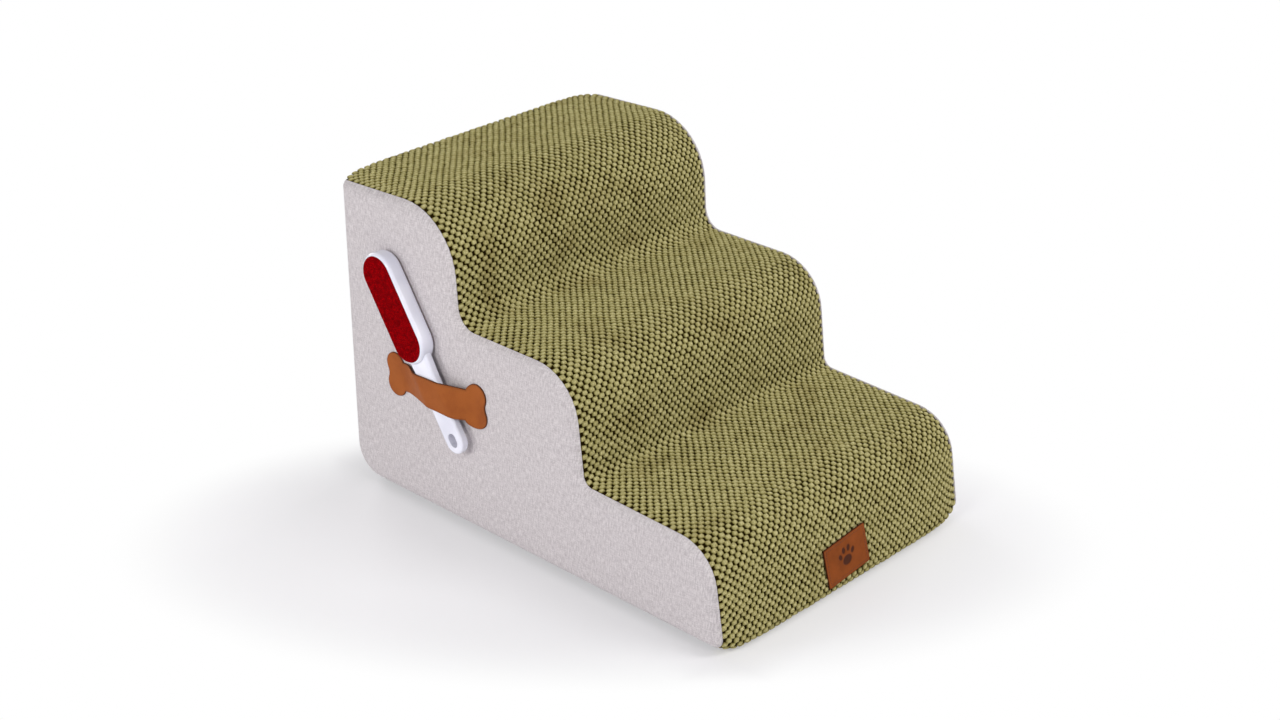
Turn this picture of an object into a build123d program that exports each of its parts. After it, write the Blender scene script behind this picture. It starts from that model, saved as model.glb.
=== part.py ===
from build123d import *
import math
import os

# Pet stairs in millimetres: three foam steps in a sewn cover, with a lint brush held under a
# bone-shaped strap on the left side. X runs across, Y from the front toe to the back and Z up.
# The origin is the centre of the underside.

# Steps: heights above the floor, depths and leans along Y
first_nose_height = 130.0
first_valley_height = 135.0
second_nose_height = 261.0
second_valley_height = 260.0
top_nose_height = 393.0
top_back_height = 384.0
first_riser_lean = 21.0
second_riser_lean = 15.0
top_riser_lean = 8.0
first_tread_depth = 184.0
second_tread_depth = 177.0
top_tread_depth = 195.0

# Rounding of the steps, seen from the side
front_toe_radius = 12.0
first_nose_radius = 53.0
first_valley_radius = 12.0
second_nose_radius = 62.0
second_valley_radius = 24.0
top_nose_radius = 77.0
top_back_radius = 6.0
back_heel_radius = 38.0

# Width between the side seams, and how soft the padded form is
seam_width = 404.0
seam_drop = 5.5
flat_seam_drop = 9.5
seam_turn = 30.0
side_bulge = 10.0
bulge_reach = 40.0
crown_power = 6.5
least_radius_share = 0.25
middle_station_shares = (-1.0, -0.85, -0.6, 0.0, 0.6, 0.85, 1.0)
turn_station_shares = (0.0, 0.33, 0.67, 1.0)
bulge_rise_shares = (0.0, 0.55, 0.85, 0.97, 1.0)
bulge_reach_shares = (0.0, 0.1, 0.28, 0.6, 1.0)

# Cover
cover_thickness = 3.0
back_seam_drop = 18.0
toe_wrap = 25.0
seat_gap = 0.3

# Zipper, low on the back
zipper_height = 61.0
tape_width = 13.0
tape_thickness = 0.8
tape_recess = 0.6
chain_end_margin = 32.0
coil_width = 2.0
coil_height = 2.2
stop_length = 3.0
stop_height = 3.0
stop_side = 1.4

# Zipper slider and its pull
slider_length = 11.0
slider_width = 9.0
slider_roof = 1.5
slider_corner = 2.5
slider_edge = 0.4
slider_gap = 0.3
bridge_width = 2.4
bridge_post = 1.5
bridge_beam = 1.1
pull_bar = 1.4
pull_arm = 1.5
pull_length = 30.0
pull_corner = 1.6
pull_hole_width = 3.0
pull_hole_length = 7.0
pull_tip_margin = 3.5

# Lint brush: its head lies on the left side, its handle points down and to the front
brush_back_setback = 118.2
brush_head_z = 260.8
brush_angle = 56.5
head_length = 134.0
head_width = 52.0
head_thickness = 20.5
head_rounding = 5.0
shell_wall = 2.2
nap_rim = 3.2
nap_seat_depth = 1.2
nap_proud = 0.8
nap_fit_gap = 0.15
nap_rounding = 0.6
handle_reach = 178.0
handle_width = 30.0
handle_thickness = 10.0
handle_rounding = 3.0
neck_width = 36.0
neck_length = 22.0
hanging_hole_width = 12.0
hanging_hole_length = 17.0
hanging_hole_margin = 8.0

# Bone-shaped strap
strap_back_setback = 162.4
strap_z = 169.5
strap_tilt = 2.6
strap_length = 171.0
strap_neck_width = 37.0
strap_lobe_height = 53.0
strap_lobe_radius = 15.0
strap_thickness = 1.8
strap_clearance = 0.4
strap_side_clearance = 2.0
strap_front_run = 20.0
strap_back_run = 34.0
strap_bend_radius = 14.0

# Leather patch low on the first riser
label_x = -4.7
label_z = 40.0
label_tilt = 6.0
label_width = 71.0
label_height = 48.0
label_thickness = 1.5
label_corner = 2.5

# Overrun of every cut past the faces that it goes through
overrun = 2.0

# Side outline, from the front toe along the floor and round over the steps
risers_run = first_riser_lean + second_riser_lean + top_riser_lean
overall_length = risers_run + first_tread_depth + second_tread_depth + top_tread_depth
front = -overall_length / 2
back = overall_length / 2
seam = seam_width / 2
flat_half = seam - seam_turn
seam_turn_radius = (seam_turn**2 + flat_seam_drop**2) / (2 * flat_seam_drop)
panel_face = -(seam + side_bulge)
front_toe = Vector(front, 0)
back_heel = Vector(back, 0)
back_top = Vector(back, top_back_height)
first_nose = Vector(front + first_riser_lean, first_nose_height)
first_valley = Vector(first_nose.X + first_tread_depth, first_valley_height)
second_nose = Vector(first_valley.X + second_riser_lean, second_nose_height)
second_valley = Vector(second_nose.X + second_tread_depth, second_valley_height)
top_nose = Vector(second_valley.X + top_riser_lean, top_nose_height)
outline_corners = [front_toe, back_heel, back_top, top_nose, second_valley, second_nose, first_valley, first_nose]
outline_radii = [
    front_toe_radius,
    back_heel_radius,
    top_back_radius,
    top_nose_radius,
    second_valley_radius,
    second_nose_radius,
    first_valley_radius,
    first_nose_radius,
]
valleys = [second_valley, first_valley]
flat_sides = [0, 1]

# Places across the stairs: over their flat middle, and from there to the right seam
middle_places = [flat_half * share for share in middle_station_shares]
turn_places = [flat_half + seam_turn * share for share in turn_station_shares]


def seam_drops(across):
    """Drop of the treads and risers, and drop of the floor and back, at a place across the stairs."""
    past_flat = max(abs(across) - flat_half, 0.0)
    steps_drop = seam_drop * (abs(across) / seam) ** crown_power
    return steps_drop, seam_turn_radius - math.sqrt(seam_turn_radius**2 - past_flat**2)


def moved_in_corners(drops, inset):
    """Corners of the side outline with every side moved in by its drop and the inset."""
    steps_drop, flat_drop = drops
    sides = []
    for place, start in enumerate(outline_corners):
        end = outline_corners[(place + 1) % len(outline_corners)]
        along = (end - start).normalized()
        inward = Vector(-along.Y, along.X)
        depth = inset + (flat_drop if place in flat_sides else steps_drop)
        sides.append((start + inward * depth, along))
    corners = []
    for place, (start, along) in enumerate(sides):
        other, other_along = sides[place - 1]
        gap = other - start
        reach = gap.cross(other_along).Z / along.cross(other_along).Z
        corners.append(start + along * reach)
    return corners


def moved_in_radii(inset):
    """Radii of the outline's corners after its sides have moved in: smaller on noses, larger in valleys."""
    radii = []
    for corner, radius in zip(outline_corners, outline_radii):
        if corner in valleys:
            radii.append(radius + inset)
        else:
            radii.append(max(radius - inset, radius * least_radius_share))
    return radii


def step_section(across, drops, inset):
    """Face of the closed side outline on the plane at a place across the stairs."""
    with BuildSketch(Plane.YZ.offset(across)) as section:
        with BuildLine():
            FilletPolyline(*moved_in_corners(drops, inset), radius=moved_in_radii(inset), close=True)
        make_face()
    return section.sketch.face()


def side_sections(rim_inset, top_rise):
    """Sections of the swollen side outside the right seam, from its rim to its flat middle."""
    sections = []
    for rise_share, reach_share in zip(bulge_rise_shares, bulge_reach_shares):
        inset = rim_inset + (bulge_reach - rim_inset) * reach_share
        sections.append(step_section(seam + top_rise * rise_share, seam_drops(seam), inset))
    return sections


# Foam core: the whole padded form, inside the cover
core_inset = cover_thickness + seat_gap
with BuildPart() as core_side:
    loft([step_section(across, seam_drops(across), core_inset) for across in turn_places])
    loft(side_sections(core_inset, side_bulge - core_inset))
with BuildPart() as foam_core:
    loft([step_section(across, seam_drops(across), core_inset) for across in middle_places])
    add(core_side.part)
    mirror(core_side.part, about=Plane.YZ)

# Side panels: one shell with its rim in the seam plane, and its mirror image
with BuildPart() as right_side_panel:
    loft(side_sections(0, side_bulge))
    loft(side_sections(cover_thickness, side_bulge - cover_thickness), mode=Mode.SUBTRACT)
with BuildPart() as left_side_panel:
    mirror(right_side_panel.part, about=Plane.YZ)

# Tread cover: one strip from the back seam over the steps and round the toe to the underside
back_seam_height = top_back_height - back_seam_drop
toe_wrap_end = front + toe_wrap


def cover_path(drops, inset):
    """Points and radii of the tread cover's line, from the back seam to its end under the toe."""
    corners = moved_in_corners(drops, inset)
    radii = moved_in_radii(inset)
    over_steps = corners[2:] + corners[:1]
    depth = inset + drops[1]
    path = [Vector(back - depth, back_seam_height), *over_steps, Vector(toe_wrap_end, depth)]
    return path, radii[2:] + radii[:1]


def cover_section(across):
    """Face of the tread cover's thickness on the plane at a place across the stairs."""
    outside_points, outside_radii = cover_path(seam_drops(across), 0)
    inside_points, inside_radii = cover_path(seam_drops(across), cover_thickness)
    with BuildSketch(Plane.YZ.offset(across)) as section:
        with BuildLine():
            outside = FilletPolyline(*outside_points, radius=outside_radii)
            inside = FilletPolyline(*inside_points, radius=inside_radii)
            Line(outside @ 0, inside @ 0)
            Line(outside @ 1, inside @ 1)
        make_face()
    return section.sketch.face()


with BuildPart() as cover_edge:
    loft([cover_section(across) for across in turn_places])
with BuildPart() as tread_cover:
    loft([cover_section(across) for across in middle_places])
    add(cover_edge.part)
    mirror(cover_edge.part, about=Plane.YZ)

# Back panel, between the top seam and the zipper
tape_top = zipper_height + tape_width
tape_bottom = zipper_height - tape_width


def back_line(inset):
    """Line across the back, flat in the middle and turned in at both seams."""
    flat_back = back - inset
    turned_back = flat_back - flat_seam_drop
    middle = Line((-flat_half, flat_back), (flat_half, flat_back))
    TangentArc(middle @ 1, (seam, turned_back), tangent=(1, 0))
    TangentArc(middle @ 0, (-seam, turned_back), tangent=(-1, 0))
    return Vector(-seam, turned_back), Vector(seam, turned_back)


def back_strip(height, inset, thickness):
    """Face of a strip that follows the back from seam to seam, on the plane at a height."""
    with BuildSketch(Plane.XY.offset(height)) as strip:
        with BuildLine():
            outside_ends = back_line(inset)
            inside_ends = back_line(inset + thickness)
            for outside_end, inside_end in zip(outside_ends, inside_ends):
                Line(outside_end, inside_end)
        make_face()
    return strip.sketch.face()


with BuildPart() as back_panel:
    extrude(back_strip(tape_top, 0, cover_thickness), amount=back_seam_height - tape_top)


# Base panel: non-slip sheet along the floor and round the heel to the zipper, drawn up at both seams
def sheet_section(across):
    """Face of the base sheet's thickness on the plane at a place across the stairs."""
    outside = seam_drops(across)[1]
    inside = outside + cover_thickness
    with BuildSketch(Plane.YZ.offset(across)) as section:
        with BuildLine():
            sheet_path = FilletPolyline(
                (toe_wrap_end, outside),
                (back - outside, outside),
                (back - outside, tape_bottom),
                radius=back_heel_radius,
            )
            sheet_inside = FilletPolyline(
                (toe_wrap_end, inside),
                (back - inside, inside),
                (back - inside, tape_bottom),
                radius=back_heel_radius - cover_thickness,
            )
            Line(sheet_path @ 0, sheet_inside @ 0)
            Line(sheet_path @ 1, sheet_inside @ 1)
        make_face()
    return section.sketch.face()


with BuildPart() as base_edge:
    loft([sheet_section(across) for across in turn_places])
with BuildPart() as base_panel:
    extrude(sheet_section(0), amount=flat_half, both=True)
    add(base_edge.part)
    mirror(base_edge.part, about=Plane.YZ)

# Zipper tapes: each is let in behind the face of the panels, from seam to seam
tape_face = back - tape_recess
tape_plane = Plane(origin=(0, tape_face, zipper_height), x_dir=(-1, 0, 0), z_dir=(0, 1, 0))
with BuildPart() as zipper_tape_upper:
    extrude(back_strip(zipper_height, tape_recess, tape_thickness), amount=tape_width)
with BuildPart() as zipper_tape_lower:
    mirror(zipper_tape_upper.part, about=Plane.XY.offset(zipper_height))

# Coils: two rows that meet on the middle line of the tapes
chain_length = seam_width - 2 * chain_end_margin
with BuildPart() as zipper_coil_upper:
    with BuildSketch(tape_plane):
        Rectangle(chain_length, coil_width, align=(Align.CENTER, Align.MIN))
    extrude(amount=coil_height)
    outer_edge = zipper_coil_upper.edges().filter_by(Axis.X).group_by(Axis.Y)[-1].sort_by(Axis.Z)[-1]
    fillet(outer_edge, coil_width / 2)
with BuildPart() as zipper_coil_lower:
    mirror(zipper_coil_upper.part, about=Plane.XY.offset(zipper_height))

# End stops, clamped on the tapes past both ends of the coil
with BuildPart() as zipper_left_stop:
    with BuildSketch(tape_plane):
        with Locations((chain_length / 2, 0)):
            Rectangle(stop_length, 2 * (coil_width + stop_side), align=(Align.MIN, Align.CENTER))
    extrude(amount=stop_height)
    fillet(zipper_left_stop.faces().sort_by(Axis.Y)[-1].edges(), slider_edge)
with BuildPart() as zipper_right_stop:
    mirror(zipper_left_stop.part, about=Plane.YZ)

# Slider: it rides over the coil with a channel, and carries the bridge for its pull
slider_x = chain_length / 2 - slider_length / 2 - slider_gap
slider_foot = tape_face + slider_gap
roof_inside = tape_face + coil_height + slider_gap
roof_top = roof_inside + slider_roof
slider_plane = Plane(origin=(slider_x, slider_foot, zipper_height), x_dir=(-1, 0, 0), z_dir=(0, 1, 0))
bridge_hole = pull_bar + 2 * slider_gap
bridge_length = bridge_hole + 2 * bridge_post
hinge_y = roof_top + bridge_hole / 2
with BuildPart() as zipper_slider:
    with BuildSketch(slider_plane):
        RectangleRounded(slider_length, slider_width, slider_corner)
    extrude(amount=roof_top - slider_foot)
    fillet(zipper_slider.faces().sort_by(Axis.Y)[-1].edges(), slider_edge)
    with BuildSketch(slider_plane.offset(roof_top - slider_foot)):
        Rectangle(bridge_length, bridge_width)
    extrude(amount=bridge_hole + bridge_beam)
    fillet(zipper_slider.faces().sort_by(Axis.Y)[-1].edges().filter_by(Axis.Z), slider_edge)
    with BuildSketch(slider_plane.offset(roof_top - slider_foot)):
        Rectangle(bridge_hole, slider_width)
    extrude(amount=bridge_hole, mode=Mode.SUBTRACT)
    with BuildSketch(slider_plane):
        Rectangle(slider_length + 2 * overrun, 2 * (coil_width + slider_gap))
    extrude(amount=roof_inside - slider_foot, mode=Mode.SUBTRACT)

# Pull: a tab forked round the bridge, turning on its bar
bridge_reach = math.hypot(bridge_length / 2, bridge_hole / 2 + bridge_beam) + slider_gap
fork_width = bridge_width + 2 * slider_gap
pull_width = fork_width + 2 * pull_arm
pull_plane = Plane(origin=(slider_x, hinge_y, zipper_height), x_dir=(1, 0, 0), z_dir=(0, -1, 0))
with BuildPart() as zipper_pull:
    with BuildSketch(pull_plane):
        Rectangle(pull_length, pull_width, align=(Align.MIN, Align.CENTER))
    extrude(amount=pull_bar / 2, both=True)
    fillet(zipper_pull.edges().filter_by(Axis.Y).group_by(Axis.X)[-1], pull_corner)
    with BuildSketch(pull_plane):
        Rectangle(bridge_reach, fork_width, align=(Align.MIN, Align.CENTER))
        with Locations((pull_length - pull_tip_margin - pull_hole_length / 2, 0)):
            SlotOverall(pull_hole_length, pull_hole_width)
    extrude(amount=pull_bar, both=True, mode=Mode.SUBTRACT)
    with BuildSketch(Plane.XY.offset(zipper_height)):
        with Locations((slider_x, hinge_y)):
            Circle(pull_bar / 2)
    extrude(amount=pull_width / 2, both=True)

# Lint brush: its own plane lies against the left side, X along it to the tip and Z out of the side
brush_head_y = back - brush_back_setback
brush_along = Vector(0, math.cos(math.radians(brush_angle)), math.sin(math.radians(brush_angle)))
brush_plane = Plane(
    origin=(panel_face - seat_gap, brush_head_y, brush_head_z),
    x_dir=brush_along,
    z_dir=(-1, 0, 0),
)
brush_middle = nap_proud + head_thickness / 2
brush_split = brush_plane.offset(brush_middle)
nap_length = head_length - 2 * nap_rim
nap_width = head_width - 2 * nap_rim
nap_thickness = nap_seat_depth + nap_proud
neck_start = -(head_length - head_width) / 2
neck_end = -(head_length / 2 + neck_length)
handle_round = handle_width / 2

with BuildPart() as handle_half:
    with BuildSketch(brush_split):
        with BuildLine():
            Polyline(
                (-handle_reach + handle_round, -handle_round),
                (neck_end, -handle_round),
                (neck_start, -neck_width / 2),
                (neck_start, neck_width / 2),
                (neck_end, handle_round),
                (-handle_reach + handle_round, handle_round),
            )
            ThreePointArc(
                (-handle_reach + handle_round, handle_round),
                (-handle_reach, 0),
                (-handle_reach + handle_round, -handle_round),
            )
        make_face()
    extrude(amount=handle_thickness / 2)
    fillet(handle_half.faces().sort_by(Axis.X)[0].edges(), handle_rounding)

hanging_hole_place = -handle_reach + hanging_hole_margin + hanging_hole_length / 2
with BuildPart() as brush_front_shell:
    with BuildSketch(brush_split):
        SlotOverall(head_length, head_width)
    extrude(amount=head_thickness / 2)
    fillet(brush_front_shell.faces().sort_by(Axis.X)[0].edges(), head_rounding)
    add(handle_half.part)
    with BuildSketch(brush_split):
        SlotOverall(head_length - 2 * shell_wall, head_width - 2 * shell_wall)
    extrude(amount=head_thickness / 2 - nap_seat_depth - shell_wall, mode=Mode.SUBTRACT)
    with BuildSketch(brush_split.offset(head_thickness / 2)):
        SlotOverall(nap_length + 2 * nap_fit_gap, nap_width + 2 * nap_fit_gap)
    extrude(amount=-nap_seat_depth, mode=Mode.SUBTRACT)
    with BuildSketch(brush_split):
        with Locations((hanging_hole_place, 0)):
            SlotOverall(hanging_hole_length, hanging_hole_width)
    extrude(amount=handle_thickness, mode=Mode.SUBTRACT)
with BuildPart() as brush_back_shell:
    mirror(brush_front_shell.part, about=brush_split)

# Nap pads, let into both faces of the head
with BuildPart() as brush_front_nap:
    with BuildSketch(brush_split.offset(head_thickness / 2 - nap_seat_depth)):
        SlotOverall(nap_length, nap_width)
    extrude(amount=nap_thickness)
    fillet(brush_front_nap.faces().sort_by(Axis.X)[0].edges(), nap_rounding)
with BuildPart() as brush_back_nap:
    mirror(brush_front_nap.part, about=brush_split)

# Bone-shaped strap: flat on the side at both lobes, arched over the handle
strap_turn = math.radians(strap_tilt)
strap_along = Vector(0, math.cos(strap_turn), -math.sin(strap_turn))
strap_y = back - strap_back_setback
strap_origin = Vector(panel_face, strap_y, strap_z)
strap_plane = Plane(origin=strap_origin, x_dir=strap_along, z_dir=(-1, 0, 0))
arch_plane = Plane(origin=strap_origin, x_dir=strap_along, z_dir=(0, math.sin(strap_turn), math.cos(strap_turn)))
strap_to_brush = Vector(0, brush_head_y - strap_y, brush_head_z - strap_z)
crossing_sine = strap_along.cross(brush_along).X
crossing = strap_to_brush.cross(brush_along).X / crossing_sine
crossing_cosine = strap_along.dot(brush_along)
handle_footprint = (handle_round + strap_neck_width / 2 * crossing_cosine) / crossing_sine + strap_side_clearance
crest_height = seat_gap + brush_middle + handle_thickness / 2 + strap_clearance
crest_front = crossing - handle_footprint
crest_back = crossing + handle_footprint
front_foot = crest_front - strap_front_run
back_foot = crest_back + strap_back_run
strap_end = strap_length / 2
lobe_middle = strap_end - strap_lobe_radius
lobe_offset = strap_lobe_height / 2 - strap_lobe_radius

with BuildPart() as bone_strap:
    with BuildSketch(arch_plane):
        with BuildLine():
            FilletPolyline(
                (-strap_end, 0),
                (front_foot, 0),
                (crest_front, crest_height),
                (crest_back, crest_height),
                (back_foot, 0),
                (strap_end, 0),
                radius=strap_bend_radius,
            )
            offset(amount=strap_thickness, side=Side.LEFT)
        make_face()
    extrude(amount=strap_lobe_height, both=True)
    with BuildSketch(strap_plane):
        Rectangle(2 * lobe_middle, strap_neck_width)
        with Locations(
            (lobe_middle, lobe_offset),
            (lobe_middle, -lobe_offset),
            (-lobe_middle, lobe_offset),
            (-lobe_middle, -lobe_offset),
        ):
            Circle(strap_lobe_radius)
    extrude(amount=crest_height + strap_thickness + overrun, mode=Mode.INTERSECT)

# Leather patch, on the slope of the first riser
riser_up = (first_nose - front_toe).normalized()
label_plane = Plane(
    origin=(label_x, front + first_riser_lean * label_z / first_nose_height, label_z),
    x_dir=(1, 0, 0),
    z_dir=(0, -riser_up.Y, riser_up.X),
)
with BuildPart() as front_label:
    with BuildSketch(label_plane.offset(seat_gap)):
        with Locations(Location((0, 0), label_tilt)):
            RectangleRounded(label_width, label_height, label_corner)
    extrude(amount=label_thickness)

pieces = {
    "foam_core": foam_core,
    "tread_cover": tread_cover,
    "left_side_panel": left_side_panel,
    "right_side_panel": right_side_panel,
    "back_panel": back_panel,
    "base_panel": base_panel,
    "zipper_tape_upper": zipper_tape_upper,
    "zipper_tape_lower": zipper_tape_lower,
    "zipper_coil_upper": zipper_coil_upper,
    "zipper_coil_lower": zipper_coil_lower,
    "zipper_left_stop": zipper_left_stop,
    "zipper_right_stop": zipper_right_stop,
    "zipper_slider": zipper_slider,
    "zipper_pull": zipper_pull,
    "bone_strap": bone_strap,
    "front_label": front_label,
    "brush_front_shell": brush_front_shell,
    "brush_back_shell": brush_back_shell,
    "brush_front_nap": brush_front_nap,
    "brush_back_nap": brush_back_nap,
}
os.makedirs("parts", exist_ok=True)
for name, piece in pieces.items():
    piece.part.label = name
    export_step(piece.part, f"parts/{name}.step")
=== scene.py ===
"""Pet stairs with a lint brush: the dressed model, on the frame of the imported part."""

import logging
import math
from dataclasses import dataclass
from enum import Enum
from itertools import accumulate
from typing import Any, Callable, Iterable, Sequence, Union

import bmesh
import bpy
from mathutils import Color, Matrix, Vector
from mathutils.geometry import delaunay_2d_cdt
from mathutils.kdtree import KDTree


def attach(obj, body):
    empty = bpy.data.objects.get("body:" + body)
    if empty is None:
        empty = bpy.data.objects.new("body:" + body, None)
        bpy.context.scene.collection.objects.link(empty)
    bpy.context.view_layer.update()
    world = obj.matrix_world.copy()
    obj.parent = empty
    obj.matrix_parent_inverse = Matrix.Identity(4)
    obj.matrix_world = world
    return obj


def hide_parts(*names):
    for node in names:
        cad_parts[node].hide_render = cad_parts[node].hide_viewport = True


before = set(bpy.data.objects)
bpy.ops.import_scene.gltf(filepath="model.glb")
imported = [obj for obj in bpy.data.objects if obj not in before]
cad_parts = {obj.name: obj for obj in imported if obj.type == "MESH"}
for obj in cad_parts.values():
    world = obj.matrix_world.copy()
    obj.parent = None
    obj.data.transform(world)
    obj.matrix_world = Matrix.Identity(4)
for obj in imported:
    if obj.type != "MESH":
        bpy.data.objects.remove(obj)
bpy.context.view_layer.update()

LOG = logging.getLogger("pet_stairs")
MM = 0.001
TURN = 2 * math.pi
BACKWARD = Vector((0.0, 1.0, 0.0))
RIGHTWARD = Vector((1.0, 0.0, 0.0))
CHART = "surface_map"
CHART_MIDDLE = 0.5
INSIDE_STAIRS = Vector((0.0, 0.1, 0.1))
NOISE_MIDDLE = (0.5, 0.5, 0.5)
LUMP_LEANS = (1.0, 1.0, 2.5)

Colour = tuple[float, float, float, float]
Band = tuple[float, float]
Triple = tuple[float, float, float]
Profile = tuple[tuple[float, float], ...]
Arch = list[tuple[Vector, Vector]]
Value = Union["Socket", float, int, bool, str, tuple, Vector, bpy.types.ID]
Inputs = dict[Union[str, int], Value]

SHARED_SOCKETS = {
    "Geometry": "NodeSocketGeometry",
    "Part": "NodeSocketObject",
    "Material": "NodeSocketMaterial",
}
SIZE_SOCKETS = {int: "NodeSocketInt", float: "NodeSocketFloat", tuple: "NodeSocketVector"}


class Slot(Enum):
    """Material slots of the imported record."""

    KNIT = "knit"
    LINEN = "linen"
    NON_SLIP = "non_slip"
    FOAM = "foam"
    ZIPPER_TAPE = "zipper_tape"
    ZIPPER_COIL = "zipper_coil"
    ZIPPER_METAL = "zipper_metal"
    LEATHER = "leather"
    BRUSH_PLASTIC = "brush_plastic"
    NAP = "nap"


class Body(Enum):
    """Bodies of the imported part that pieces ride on."""

    STAIRS = "stairs"
    BRUSH = "brush"


class Side(Enum):
    """Sides of the stairs, as the sign of X."""

    LEFT = -1
    RIGHT = 1


def colour(*levels: int) -> Colour:
    """Turn a screen colour of red, green and blue from 0 to 255 into the linear colour of a shader."""
    linear = Color([level / 255 for level in levels]).from_srgb_to_scene_linear()
    return (*linear, 1.0)


def math_method(operation: str, reflected: bool = False) -> Callable[..., "Socket"]:
    """Make a method that adds one Math node to a socket's tree.

    Args:
        operation: The node's operation.
        reflected: Whether the socket is the second value and not the first.

    Returns:
        The method.
    """

    def method(self: "Socket", other: Value = 0.0) -> "Socket":
        """Add the Math node and give its result."""
        left, right = (other, self) if reflected else (self, other)
        return self.maker.node("ShaderNodeMath", {"operation": operation}, {0: left, 1: right}).out()

    return method


class Socket:
    """One output of a node, whose arithmetic adds Math nodes to the node's tree."""

    __add__ = math_method("ADD")
    __radd__ = math_method("ADD", reflected=True)
    __sub__ = math_method("SUBTRACT")
    __rsub__ = math_method("SUBTRACT", reflected=True)
    __mul__ = math_method("MULTIPLY")
    __rmul__ = math_method("MULTIPLY", reflected=True)
    __truediv__ = math_method("DIVIDE")
    __rtruediv__ = math_method("DIVIDE", reflected=True)
    __pow__ = math_method("POWER")
    __mod__ = math_method("FLOORED_MODULO")
    __abs__ = math_method("ABSOLUTE")
    __lt__ = math_method("LESS_THAN")
    __gt__ = math_method("GREATER_THAN")
    floor = math_method("FLOOR")
    sine = math_method("SINE")
    larger = math_method("MAXIMUM")
    smaller = math_method("MINIMUM")

    def __init__(self, maker: "NodeMaker", output: bpy.types.NodeSocket) -> None:
        """Keep the tree's maker and the output."""
        self.maker = maker
        self.output = output

    def ramp(self, band: Band) -> "Socket":
        """Rise smoothly from 0 at the start of a band to 1 at its end."""
        values = {"Value": self, "From Min": band[0], "From Max": band[1]}
        return self.maker.node("ShaderNodeMapRange", {"interpolation_type": "SMOOTHSTEP"}, values).out()

    def within(self, band: Band) -> "Socket":
        """Stretch what runs from 0 to 1 to a band."""
        return self * (band[1] - band[0]) + band[0]


class Node:
    """A node that was made, from which outputs are taken."""

    def __init__(self, maker: "NodeMaker", made: bpy.types.Node) -> None:
        """Keep the tree's maker and the node."""
        self.maker = maker
        self.made = made

    def out(self, name: str | None = None) -> Socket:
        """Take the first output in use, or the one in use that has a name."""
        usable = (output for output in self.made.outputs if output.enabled)
        return Socket(self.maker, next(output for output in usable if name in (None, output.name)))


@dataclass(frozen=True)
class Noise:
    """How fine a noise is, how many finer layers it has and how strong they are."""

    scale: float
    detail: float = 2.0
    rough: float = 0.5


@dataclass(frozen=True)
class Relief:
    """How much of a bump shows, and how high a height of 1 is."""

    strength: float
    height: float


class NodeMaker:
    """Adds nodes to one shader or geometry tree."""

    def __init__(self, tree: bpy.types.NodeTree) -> None:
        """Keep the tree."""
        self.tree = tree

    def node(self, kind: str, settings: dict[str, Any] | None = None, inputs: Inputs | None = None) -> Node:
        """Add one node, set it up and fill its inputs.

        Args:
            kind: The node's type.
            settings: Its properties, which are set before its inputs.
            inputs: Values or links by the input's name or number.

        Returns:
            The node.
        """
        made = self.tree.nodes.new(kind)
        for name, value in (settings or {}).items():
            setattr(made, name, value)
        for key, value in (inputs or {}).items():
            if isinstance(key, int):
                target = made.inputs[key]
            else:
                target = next(item for item in made.inputs if item.enabled and item.name == key)
            if isinstance(value, Socket):
                self.tree.links.new(value.output, target)
            else:
                target.default_value = value
        return Node(self, made)

    def vector(self, operation: str, left: Value, right: Value) -> Socket:
        """Add a Vector Math node, whose second value is a number where it scales."""
        second: Union[str, int] = "Scale" if operation == "SCALE" else 1
        return self.node("ShaderNodeVectorMath", {"operation": operation}, {0: left, second: right}).out()

    def combine(self, x: Value, y: Value, z: Value) -> Socket:
        """Put three values together as a vector."""
        return self.node("ShaderNodeCombineXYZ", {}, {"X": x, "Y": y, "Z": z}).out()

    def split(self, vector: Socket) -> tuple[Socket, Socket, Socket]:
        """Take a vector apart into its X, Y and Z."""
        parts = self.node("ShaderNodeSeparateXYZ", {}, {"Vector": vector})
        return parts.out("X"), parts.out("Y"), parts.out("Z")

    def place(self) -> Socket:
        """Take the place on the piece, in its own coordinates."""
        return self.node("ShaderNodeTexCoord").out("Object")

    def attribute(self, name: str) -> Socket:
        """Read a number that is kept on the mesh."""
        return self.node("ShaderNodeAttribute", {"attribute_name": name}).out("Fac")

    def noise(self, vector: Socket, look: Noise) -> Socket:
        """Add soft noise of about 0 to 1, read at a place."""
        values = {"Vector": vector, "Scale": look.scale, "Detail": look.detail, "Roughness": look.rough}
        return self.node("ShaderNodeTexNoise", {}, values).out("Fac")

    def cells(self, vector: Socket, scale: float) -> Socket:
        """Add small cells, as how far a place lies from the middle of its cell."""
        return self.node("ShaderNodeTexVoronoi", {}, {"Vector": vector, "Scale": scale}).out("Distance")

    def mix(self, share: Value, first: Value, second: Value, blend: str = "MIX") -> Socket:
        """Mix a share of a second colour into a first."""
        settings = {"data_type": "RGBA", "blend_type": blend}
        return self.node("ShaderNodeMix", settings, {"Factor": share, "A": first, "B": second}).out("Result")

    def bump(self, height: Socket, relief: Relief) -> Socket:
        """Bend the normal by a height of about 0 to 1."""
        values = {"Height": height, "Strength": relief.strength, "Distance": relief.height}
        return self.node("ShaderNodeBump", {}, values).out("Normal")

    def seen_directly(self) -> Socket:
        """Give 1 to the camera's rays and to those that gloss or glass sends on.

        Returns:
            A number, 0 or 1.
        """
        rays = self.node("ShaderNodeLightPath")
        camera, glossy = rays.out("Is Camera Ray"), rays.out("Is Glossy Ray")
        return (camera + glossy + rays.out("Is Transmission Ray")).smaller(1.0)


def emptied(owner: bpy.types.Material | bpy.types.World) -> NodeMaker:
    """Empty the nodes of a material or a world.

    Args:
        owner: The material or world.

    Returns:
        The maker of its tree.
    """
    owner.use_nodes = True
    owner.node_tree.nodes.clear()
    return NodeMaker(owner.node_tree)


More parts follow.
